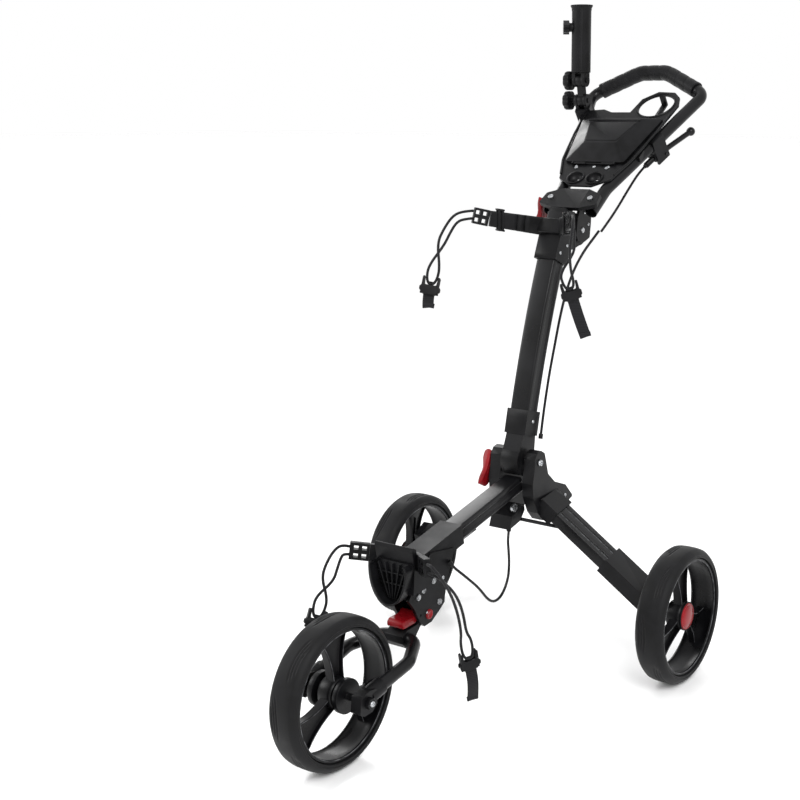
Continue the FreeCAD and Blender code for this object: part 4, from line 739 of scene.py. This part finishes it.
# ------------------------------------------------------------------ small shapes
def bolt(at, axis, radius):
    """Button head with a round recess: profile radius over height, recess as an inner step."""
    tall, socket = radius * 0.55, radius * 0.48
    profile = [(0, -0.6), (radius, -0.6), (radius, tall * 0.35), (radius * 0.86, tall * 0.8),
               (radius * 0.62, tall), (socket, tall), (socket, tall * 0.3), (0, tall * 0.25)]
    return turned(profile, at, axis, 24, closed=False)


def lobed(centre, axis, radius, thick, lobes, depth):
    """Hand knob: radius r (1 - depth cos(lobes a)) over a profile that bulges at its rim."""
    height = np.array([-0.5, -0.5, -0.44, -0.3, 0.2, 0.36, 0.46, 0.5, 0.46, 0.46]) * thick
    share = np.array([0.30, 0.88, 0.96, 1.0, 1.0, 0.96, 0.86, 0.56, 0.5, 0.02])
    angle = np.linspace(0, 2 * np.pi, 144, endpoint=False)
    wave = 1 - depth * (0.5 + 0.5 * np.cos(lobes * angle)) ** 2
    reach = radius * share[:, None] * (1 + (wave - 1) * np.clip(share[:, None] * 2 - 1, 0, 1))
    local = np.stack([reach * np.cos(angle), reach * np.sin(angle),
                      height[:, None] + 0 * angle], -1)
    return grid(put(local, centre, axis, UP if abs(unit(axis)[2]) < 0.9 else ACROSS))


# Axis (across, along the cart) and height of the umbrella tube
HOLDER_AXIS, HOLDER_TALL = (-112.4545, 942.7608), 134.0


class CART_OT_holder(bpy.types.Operator):
    """Umbrella holder: lobed knobs, flared barrel with its seam"""
    bl_idname = "cart.holder"
    bl_label = "Umbrella holder"

    def execute(self, context):
        for name, body in (("low_knob", "low_knob_body"), ("high_knob", "high_knob_body")):
            low, high = box_mm(name)
            radius, long = (high[2] - low[2]) / 2, high[0] - low[0] - 13
            centre = np.array([low[0] + 7, *((low + high) / 2)[1:]])
            add_piece("lobed_" + name, *joined([
                lobed(centre, -ACROSS, radius - 0.1, 14.0, 8, 0.09),
                turned([(0, 0), (5, 0), (5, long), (0, long)], centre + (5, 0, 0), ACROSS, 32,
                       closed=False)]),
                      body, "nylon_moulded_black", [name], "black_plastic", sharp=45)
        top = box_mm("holder_tube")[1][2]
        base = np.array([*HOLDER_AXIS, top - HOLDER_TALL])
        barrel = [(0, 0.2), (17.6, 0.2), (19.4, 1.6), (19.8, 4), (19.8, 60), (19.2, 60.8),
                  (19.2, 63.2), (19.8, 64), (19.8, 122), (20.6, 124), (20.6, 127), (21.6, 129.6),
                  (22.8, 131.4), (22.8, 133.4), (21.8, 134), (16.6, 134), (16.05, 133), (16.05, 14),
                  (0, 14)]
        holder = [turned(barrel, base, UP, 96, closed=False)]
        seam = fillet(oblong(3, 1.6), 1.2)
        for turn in (math.radians(-60), math.radians(120)):
            away = np.array([math.cos(turn), math.sin(turn), 0])
            start = base + away * 19.6
            holder.append(swept(np.linspace(start + UP * 4, start + UP * 126, 6), seam, away))
        add_piece("holder_barrel_skin", *joined(holder), "holder", "nylon_moulded_black")
        return {"FINISHED"}


class CART_OT_levers(bpy.types.Operator):
    """Red cam levers, fork latch and the round button"""
    bl_idname = "cart.levers"
    bl_label = "Levers"

    def execute(self, context):
        out = -ACROSS
        for name, body, pivot, toward_tip, long in (
                ("knee_lever", "knee_latch", LEVER_PIN_KNEE, (0, -0.45, -0.89), 60.0),
                ("handle_lever", "handle_latch", LEVER_PIN_HANDLE, (0, 0.22, 0.975), 58.0)):
            tip = unit(toward_tip)
            z_axis = np.cross(tip, out)
            outline = [(-8.6, -2), (-6, -6.8), (long * 0.5, -7.6), (long * 0.9, -4.2), (long, 0),
                       (long + 1.6, 4.6), (long * 0.8, 5.8), (long * 0.5, 2), (8, 8.8), (-4, 8.2),
                       (-8.4, 3.4)]
            # Two cheeks straddle the bolt's eye; the finger tab fills the gap beyond it
            shape = fillet(outline, 5.0, 6)
            body_shape = [slab(shape, 8.4, 2.0, pivot + z_axis * off, z_axis, tip, 4)
                          for off in (-8.7, 8.7)]
            filled = np.column_stack([np.maximum(shape[:, 0], 10.0), shape[:, 1]])
            filled = filled[np.append(True, np.linalg.norm(np.diff(filled, axis=0), axis=1) > 0.05)]
            body_shape.append(slab(filled, 12.0, 1.0, pivot, z_axis, tip, 3))
            ribs = [cross_bar(pivot + tip * at + out * 3.6, z_axis * 9, 2.4, 3.4, tip, 0.8, 1.2)
                    for at in (30, 36, 42, 48)]
            add_piece("cam_" + name, *joined(body_shape + ribs), body, "abs_red_gloss", [name],
                      "red_plastic", sharp=40)
        low, high = box_mm("fork_button")
        face = (high[0] - low[0]) / 2
        dome = [(0, -face), (8.9, -face), (8.9, face - 1.4), (8.2, face - 0.4), (6.6, face),
                (5.6, face - 0.7), (0, face - 1.2)]
        add_piece("round_fork_button", *turned(dome, (low + high) / 2, ACROSS, 56, closed=False),
                  "fork_catch", "abs_red_gloss", ["fork_button"], "red_plastic")
        tab = [(159.4, 181.6), (194, 183), (205.4, 196.2), (200, 203.4), (190, 195.6), (164, 195.4),
               (158.4, 190)]
        add_piece("fork_latch_tab", *side_slab(fillet(tab, 3.4, 5), 35.6, 2.0, 0.0), "fork_latch",
                  "abs_red_gloss", ["fork_lever"], "red_plastic")
        return {"FINISHED"}


# ------------------------------------------------------------------ cords
class CART_OT_cords(bpy.types.Operator):
    """Elastic loops with their buckles, and the brake cable"""
    bl_idname = "cart.cords"
    bl_label = "Cords"

    def execute(self, context):
        for side in (-1, 1):
            make_strap("upper", side, **UPPER_STRAPS[side])
            make_strap("lower", side, **LOWER_STRAPS[side])
        # The brake's spout lies under the right leg of the handle, 192 mm up the slope
        right = unit(on_handle(*HANDLE_CORNER) - on_handle(*HANDLE_FOOT))
        under = unit(HANDLE_OUT - right * (HANDLE_OUT @ right))
        share = (192 - HANDLE_FOOT[1]) / (HANDLE_CORNER - HANDLE_FOOT)[1]
        tube = on_handle(HANDLE_FOOT[0] + (HANDLE_CORNER - HANDLE_FOOT)[0] * share, 192)
        spout = tube + under * 27.0 - right * 38.0
        make_cable("handle_cable", "handle", [
            spout, spout - right * 22, (67, 824, 884), (66.5, 791, 857), (66, 757, 832),
            (66, 725, 812)], ends=((0, 1),))
        make_cable("upper_cable", "upper", [
            (60.4, 725, 812), (58, 707, 798), (49, 689, 776), (39, 671, 744), (32, 654, 703),
            (29.5, 636, 655), (28.5, 620, 604), (28, 602, 551), (29, 586, 500), (30, 575, 462),
            (31, 568, 436)], ends=((-1, -2),))
        make_cable("lower_cable", "frame", [
            (17, 481, 274.0), (18.5, 477, 265), (22, 470, 253), (29, 462, 239), (37, 452, 220),
            (41.5, 443, 197), (42, 430, 176), (42, 412, 163), (42, 391, 163), (42, 372, 176),
            (42, 355, 195), (42, 336, 213), (40.5, 316, 230), (38, 299, 245), (33.5, 286, 257),
            (29.5, 278, 268)])
        return {"FINISHED"}


def curve_piece(name, points, body, material, node_name):
    """Free cord as one smooth NURBS spline whose control points are the route."""
    curve = bpy.data.curves.new(name, "CURVE")
    curve.dimensions = "3D"
    curve.bevel_depth, curve.bevel_resolution = 2.5 * MM, 6
    curve.resolution_u, curve.use_fill_caps = 10, True
    spline = curve.splines.new("NURBS")
    spline.points.add(len(points) - 1)
    placed = row(points)
    spline.points.foreach_set("co", np.column_stack([placed, np.ones(len(placed))]).ravel())
    spline.order_u, spline.use_endpoint_u = 3, True
    curve.materials.append(bpy.data.materials[material])
    piece = bpy.data.objects.new(name, curve)
    bpy.context.scene.collection.objects.link(piece)
    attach(piece, body)
    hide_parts(node_name)
    return piece, placed


def make_cable(node_name, body, points, ends=((0, 1), (-1, -2))):
    """Brake cable held at both ends; length in millimetres; ends are its ferrules."""
    piece, placed = curve_piece(node_name + "_jacket", points, body, "pvc_jacket", node_name)
    ferrules = [turned([(2.6, -5), (4.0, -5), (4.2, -4.2), (4.2, 4.2), (3.8, 5), (2.6, 5)],
                       np.asarray(points[i], float), np.subtract(points[j], points[i]), 32)
                for i, j in ends]
    add_piece(node_name + "_ferrules", *joined(ferrules), body, "nylon_moulded_black")


def clip_end(where, side):
    """Middle of a strap clip's outer face."""
    if where == "lower":
        away = unit((side * 0.80, -0.58, 0.12))
        start = np.array([side * 34.0, 178.0, 302.0]) + away * 26.4
        return start + away * 32.0
    root = along_upper(ARMS_AT, -20.0, side * 18.0)
    away = unit((side * 0.66, -0.72, 0.22))
    return root + bag_arm_direction(side) * 108.4 + away * 33.0


# Heights of the cord's two ends on its clip, then each strap's way down to its buckle and back
STRAP_ENDS = {"upper": (8.0, -6.0), "lower": (6.0, -8.0)}
UPPER_STRAPS = {
    -1: dict(down=[(-119, 525, 854), (-125, 504, 846), (-128, 482, 825), (-129, 462, 800)],
             up=[(-121, 472, 795), (-118, 488, 818), (-117, 506, 835), (-115, 525, 840)],
             anchor=(-125, 437, 731), tongue=(0.0, -0.34, -0.94), across=(0.83, 0.56, 0),
             tail=24, length=373),
    1: dict(down=[(119, 531, 853), (125, 519, 842), (125, 515, 820), (119, 519, 792)],
            up=[(109, 553, 788), (111, 548, 808), (117, 540, 824), (116, 536, 834)],
            anchor=(104, 546, 726), tongue=(0.16, 0.26, -0.95), across=(0.83, 0.56, 0),
            tail=74, length=313)}
LOWER_STRAPS = {
    -1: dict(down=[(-93, 136, 319), (-101, 124, 310), (-106, 110, 291), (-107, 98, 268)],
             up=[(-97, 116, 258), (-94, 124, 280), (-93, 132, 296), (-90, 137, 303)],
             anchor=(-103, 80, 208), tongue=(0.0, -0.42, -0.91), across=(0.6, 0.8, 0),
             tail=24, length=292),
    1: dict(down=[(94, 135, 319), (103, 137, 311), (107, 149, 293), (107, 166, 271),
                  (105, 183, 246), (103, 199, 214), (102, 209, 180)],
            up=[(100, 226, 174), (101, 217, 208), (102, 203, 238), (102, 185, 262),
                (100, 165, 281), (98, 149, 296), (92, 140, 301)],
            anchor=(100, 232, 128), tongue=(0.06, 0.16, -0.98), across=(-0.5, -0.86, 0),
            tail=60, length=469)}


def make_strap(where, side, down, up, anchor, tongue, across, tail, length):
    """Elastic loop from its clip round the bar of a buckle and back, with the buckle on it."""
    body = "upper" if where == "upper" else "frame"
    name, tongue, anchor = where + "_strap" + SIDES[side], unit(tongue), np.array(anchor, float)
    across = unit(np.asarray(across, float) - tongue * (np.asarray(across, float) @ tongue))
    first, last = anchor + across * 10.0, anchor - across * 10.0
    loop = [first - tongue * 30, first - tongue * 8, anchor + across * 4.5 + tongue * 4,
            anchor - across * 4.5 + tongue * 4, last - tongue * 8, last - tongue * 30]
    face = clip_end(where, side)
    rise, fall = STRAP_ENDS[where]
    points = [face + (0, 0, rise), *down, *loop, *up, face + (0, 0, fall)]
    piece, placed = curve_piece(name + "_elastic", [np.asarray(p, float) for p in points], body,
                                "polyester_braid", name)
    outline = [(-16.4, -9), (-12, -10), (-10.4, 6), (10.4, 6), (12, -10), (16.4, -9), (16.4, 8),
               (19.4, 10), (19.4, 17), (14, 19), (12.4, 23.6), (-12.4, 23.6), (-14, 19),
               (-19.4, 17), (-19.4, 10), (-16.4, 8)]
    # Two plates, with X across and Y along the tongue, and bars between them
    flat_axis = np.cross(across, tongue)
    plates = [slab(fillet(outline, 2.4, 4), 3.4, 1.0, anchor + flat_axis * side_z, flat_axis,
                   across) for side_z in (-3.9, 3.9)]
    plates += [cross_bar(anchor + tongue * at, across * 17, wide, 7.4, tongue, 0.8, 1.6)
               for at, wide in ((13.0, 5.0), (21.0, 4.0))]
    plates += [beam(anchor + across * off - tongue * 8, anchor + across * off + tongue * 22,
                    3.4, 8.0, across, 0.6, 1.2) for off in (-14.4, 14.4)]
    bar = anchor + tongue * 0.6
    plates.append(swept(np.linspace(bar - across * 7.4, bar + across * 7.4, 4), ring(1.6, 16),
                        tongue))
    buckle = where + "_buckle" + SIDES[side]
    shell = add_piece(buckle + "_shell", *joined(plates), body, "nylon_moulded_black", [buckle],
                      "black_plastic")
    share = np.linspace(0, 1, 30)[:, None]
    run = anchor + tongue * (19.0 + (tail + 4.6) * share)
    run = run + flat_axis * 3.0 * np.sin(share * 4.2) + across * 4.0 * share ** 2
    folds = swept(run, fillet(oblong(10.4, 0.9), 0.8, 4), flat_axis)
    hem = beam(run[-1] - tongue * 9, run[-1] - tongue * 0.4, 21.0, 3.4, across, 0.6, 1.2)
    tail_piece = add_piece(buckle + "_webbing", *joined([folds, hem]), body, "nylon_webbing")


# ------------------------------------------------------------------ arms and fasteners
class CART_OT_arms(bpy.types.Operator):
    """Bag arms of the upper cradle, and the extruded bars of the rear arms"""
    bl_idname = "cart.arms"
    bl_label = "Arms"

    def execute(self, context):
        parts = []
        for side in (-1, 1):
            root, arm = along_upper(ARMS_AT, -21.0, side * 18.0), bag_arm_direction(side)
            share = np.linspace(0, 1, 70)[:, None]
            # The band waves: two pleats where it bends, as a moulded strap guide has
            wave = sum(3.0 * np.exp(-((share - at) / 0.03) ** 2) for at in (0.36, 0.5))
            front = unit(np.cross(arm, UP)) * -side
            path = root + arm * 108.0 * share + front * wave
            tall = 16.8 - 2.2 * share
            flat = fillet(SQUARE, 0.34, 5)
            section = np.stack([3.9 * flat[:, 0] + 0 * tall, tall * flat[:, 1]], -1)
            parts.append(swept(path, section, UP))
            # Ladder lock that the band runs through beside its clip
            for at in (84.0, 92.0):
                middle = root + arm * at
                for off in (-6.0, 6.0):
                    parts.append(cross_bar(middle + front * off, UP * 19.5, 4.0, 2.6, arm, 0.6,
                                           1.0))
            for lift in (-19.0, 19.0):
                parts.append(cross_bar(root + arm * 88 + UP * lift, arm * 7.5, 14.6, 3.6, front,
                                       0.8, 1.4))
        parts.append(cross_bar(along_upper(ARMS_AT, -27.0), ACROSS * 25, 29.0, 11.4,
                               along_upper(ARMS_AT + 8.0) - along_upper(ARMS_AT), 1.6, 4.0))
        add_piece("banded_bag_arms", *joined(parts), "upper", "nylon_moulded_black",
                  ["upper_arms"], "black_plastic")
        for side in (-1, 1):
            self.rear_arm(side)
        self.bag_rest()
        return {"FINISHED"}

    def bag_rest(self):
        """Flared rim round the apron of the bag rest, and ribs that fan up inside it."""
        edge = fillet([(-39, 300), (-33, 262), (-19, 236), (0, 227), (19, 236), (33, 262),
                       (39, 300)], 12.0, 6)
        edge = edge[edge[:, 1] < 299.6]
        edge = edge[np.argsort(np.arctan2(edge[:, 0], 320 - edge[:, 1]))]
        path = np.column_stack([edge[:, 0], np.full(len(edge), 150.0), edge[:, 1]])
        wall = fillet([(-1.6, -9.5), (1.6, -9.5), (2.6, 9.5), (-0.6, 9.5)], 0.8, 4)
        parts = [swept(path, wall, (0, -1, 0))]
        for tip in (-30, -15, 0, 15, 30):
            foot = np.array([tip * 0.25, 157.0, 236.0])
            parts.append(beam(foot, (tip, 157.0, 297.0), 2.2, 8.0, ACROSS, 0.5, 0.8))
        for z, half in ((262, 31), (281, 34)):
            parts.append(cross_bar(np.array([0, 157.5, z]), ACROSS * half, 2.0, 6.0, UP, 0.4, 0.7))
        add_piece("bag_rest_rim", *joined(parts), "frame", "nylon_moulded_black")

    def rear_arm(self, side):
        """Extruded bar with two open grooves; thin light metal lines on the grooves' lips are
        painted highlights.
        """
        axle = np.array([side * (REAR_HALF_TRACK - TYRE_HALF - 6), REAR_AXLE_Y, WHEEL_RADIUS])
        root = np.array([side * (25.6 + 24.0 * 0.62), 567.0, 316.0])
        run = axle - root
        along, long = unit(run), np.linalg.norm(run) * 0.66
        face = unit(np.cross(along, (0, 1, 0)))
        face = face if face[2] > 0 else -face
        wide, deep = 27.0, 11.0
        profile = [(-wide, -deep), (wide, -deep), (wide, deep)]
        for off in (13, -13):
            profile += [(off + 3.5, deep), (off + 3.5, deep - 2.6), (off - 3.5, deep - 2.6),
                        (off - 3.5, deep)]
        profile.append((-wide, deep))
        path = root + along * np.linspace(0.4, long - 0.4, 14)[:, None]
        add_piece("grooved_rear_arm" + SIDES[side],
                  *swept(path, fillet(profile, 1.0, 4), face), "rear" + SIDES[side],
                  "aluminium_powder_coat", ["rear_arm" + SIDES[side]], "powder_coat", sharp=30)
        # Painted highlights: thin light lines along the lips of the two grooves
        lines = []
        back = np.array([0.0, 1.0, 0.0])
        for off in (-13, 13):
            start = root + back * (off - 3.9) + face * (deep + 0.05)
            lines.append(swept(np.linspace(start + along * 20, start + along * (long - 26), 6),
                               fillet(oblong(0.5, 0.3), 0.2, 3), face))
        add_piece("arm_bright_lips" + SIDES[side], *joined(lines), "rear" + SIDES[side],
                  "aluminium_polished")


class CART_OT_fasteners(bpy.types.Operator):
    """Bolt heads and their sockets on every bracket"""
    bl_idname = "cart.fasteners"
    bl_label = "Fasteners"

    def execute(self, context):
        heads = {"frame": [], "upper": [], "handle": [], "fork": []}
        for side in (-1, 1):
            out = ACROSS * side
            for y, z, r in ((204, 241, 4.2), (190, 232, 4.2), (233, 249, 4.2), (250, 206, 5.4),
                            (216, 196, 3.4), (262, 246, 3.4)):
                heads["frame"].append(bolt((side * 25.4, y, z), out, r))
            heads["fork"].append(bolt((side * 80.0, 0, WHEEL_RADIUS), out, 5.0))
            for at, low in ((346.0, -10.0), (392.0, 4.0), (366.0, 8.0)):
                heads["upper"].append(bolt(along_upper(at, low, side * 24.0), out, 3.2))
            heads["upper"].append(bolt(along_upper(24.0, 0.0, side * 23.0), out, 3.4))
            for y, z, r in ((8, 34, 3.4), (22, 10, 3.0)):
                heads["handle"].append(bolt(JOINT + (side * 24.2, y, z), out, r))
            arms = [bolt((side * 49.6, y, z), out, 3.6)
                    for y, z in ((596, 312), (628, 309), (560, 300))]
            if side > 0:
                # On the left the cam lever's eye stands here instead
                arms.append(bolt(KNEE + ACROSS * 51.1, out, 6.4))
            add_piece("arm_bolts" + SIDES[side], *joined(arms), "rear" + SIDES[side],
                      "stainless_turned")
        for body, group in heads.items():
            add_piece(body + "_bolt_heads", *joined(group), body, "stainless_turned")
        return {"FINISHED"}


CARRIED = {
    "nylon_moulded_black": [
        "lower_bracket", "base_cradle", "knee_yoke", "arm_socket_left", "arm_socket_right",
        "arm_bracket_left", "arm_bracket_right", "knee_sleeve", "upper_bracket", "upper_clips",
        "handle_knuckle", "handle_plate", "holder_clamp", "holder_joint", "holder_tube",
        "tube_knob", "brake_base", "fork_knuckles", "fork_head"],
    "abs_textured_black": ["tray"],
    "aluminium_powder_coat": ["fork_tube", "handle_tube", "brake_lever", "link_rod_left",
                              "link_rod_right"],
    "stainless_turned": ["frame_bolts", "handle_bolts"],
    "pp_rim_black": ["front_axle"]}
ROUND_NODES = {"fork_tube", "handle_tube", "brake_lever", "link_rod_left", "link_rod_right"}


class CART_OT_carried(bpy.types.Operator):
    """Materials and softened edges of the frame's own pieces"""
    bl_idname = "cart.carried"
    bl_label = "Carried pieces"

    def execute(self, context):
        for material, names in CARRIED.items():
            for name in names:
                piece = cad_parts[name]
                piece.data.materials.clear()
                piece.data.materials.append(bpy.data.materials[material])
                if name in ROUND_NODES:
                    continue
                weld = piece.modifiers.new("weld", "WELD")
                weld.merge_threshold = 1e-5
                soft = piece.modifiers.new("edge", "BEVEL")
                soft.width, soft.segments = 0.8 * MM, 2
                soft.limit_method, soft.angle_limit = "ANGLE", math.radians(35)
                soft.harden_normals = True
        return {"FINISHED"}


class CART_PT_panel(bpy.types.Panel):
    """Operators in the order they run"""
    bl_idname = "CART_PT_panel"
    bl_label = "Push cart"
    bl_space_type = "VIEW_3D"
    bl_region_type = "UI"
    bl_category = "Push cart"

    def draw(self, context):
        for operator in OPERATORS:
            self.layout.operator(operator.bl_idname)


GROUPS = [("cart_finish", CartFinish), ("cart_wheels", CartWheels), ("cart_stage", CartStage)]
OPERATORS = [CART_OT_stage, CART_OT_wheels, CART_OT_tubes, CART_OT_grip, CART_OT_tray,
             CART_OT_holder, CART_OT_levers, CART_OT_cords, CART_OT_arms, CART_OT_fasteners,
             CART_OT_carried]


def register():
    for name, group in GROUPS:
        bpy.utils.register_class(group)
        setattr(bpy.types.Scene, name, bpy.props.PointerProperty(type=group))
    for item in OPERATORS + [CART_PT_panel]:
        bpy.utils.register_class(item)


def unregister():
    for item in reversed(OPERATORS + [CART_PT_panel]):
        bpy.utils.unregister_class(item)
    for name, group in reversed(GROUPS):
        delattr(bpy.types.Scene, name)
        bpy.utils.unregister_class(group)


def main():
    register()
    make_materials(bpy.context.scene.cart_finish)
    for operator in OPERATORS:
        getattr(bpy.ops.cart, operator.bl_idname.split(".")[1])()


if __name__ == "__main__":
    main()
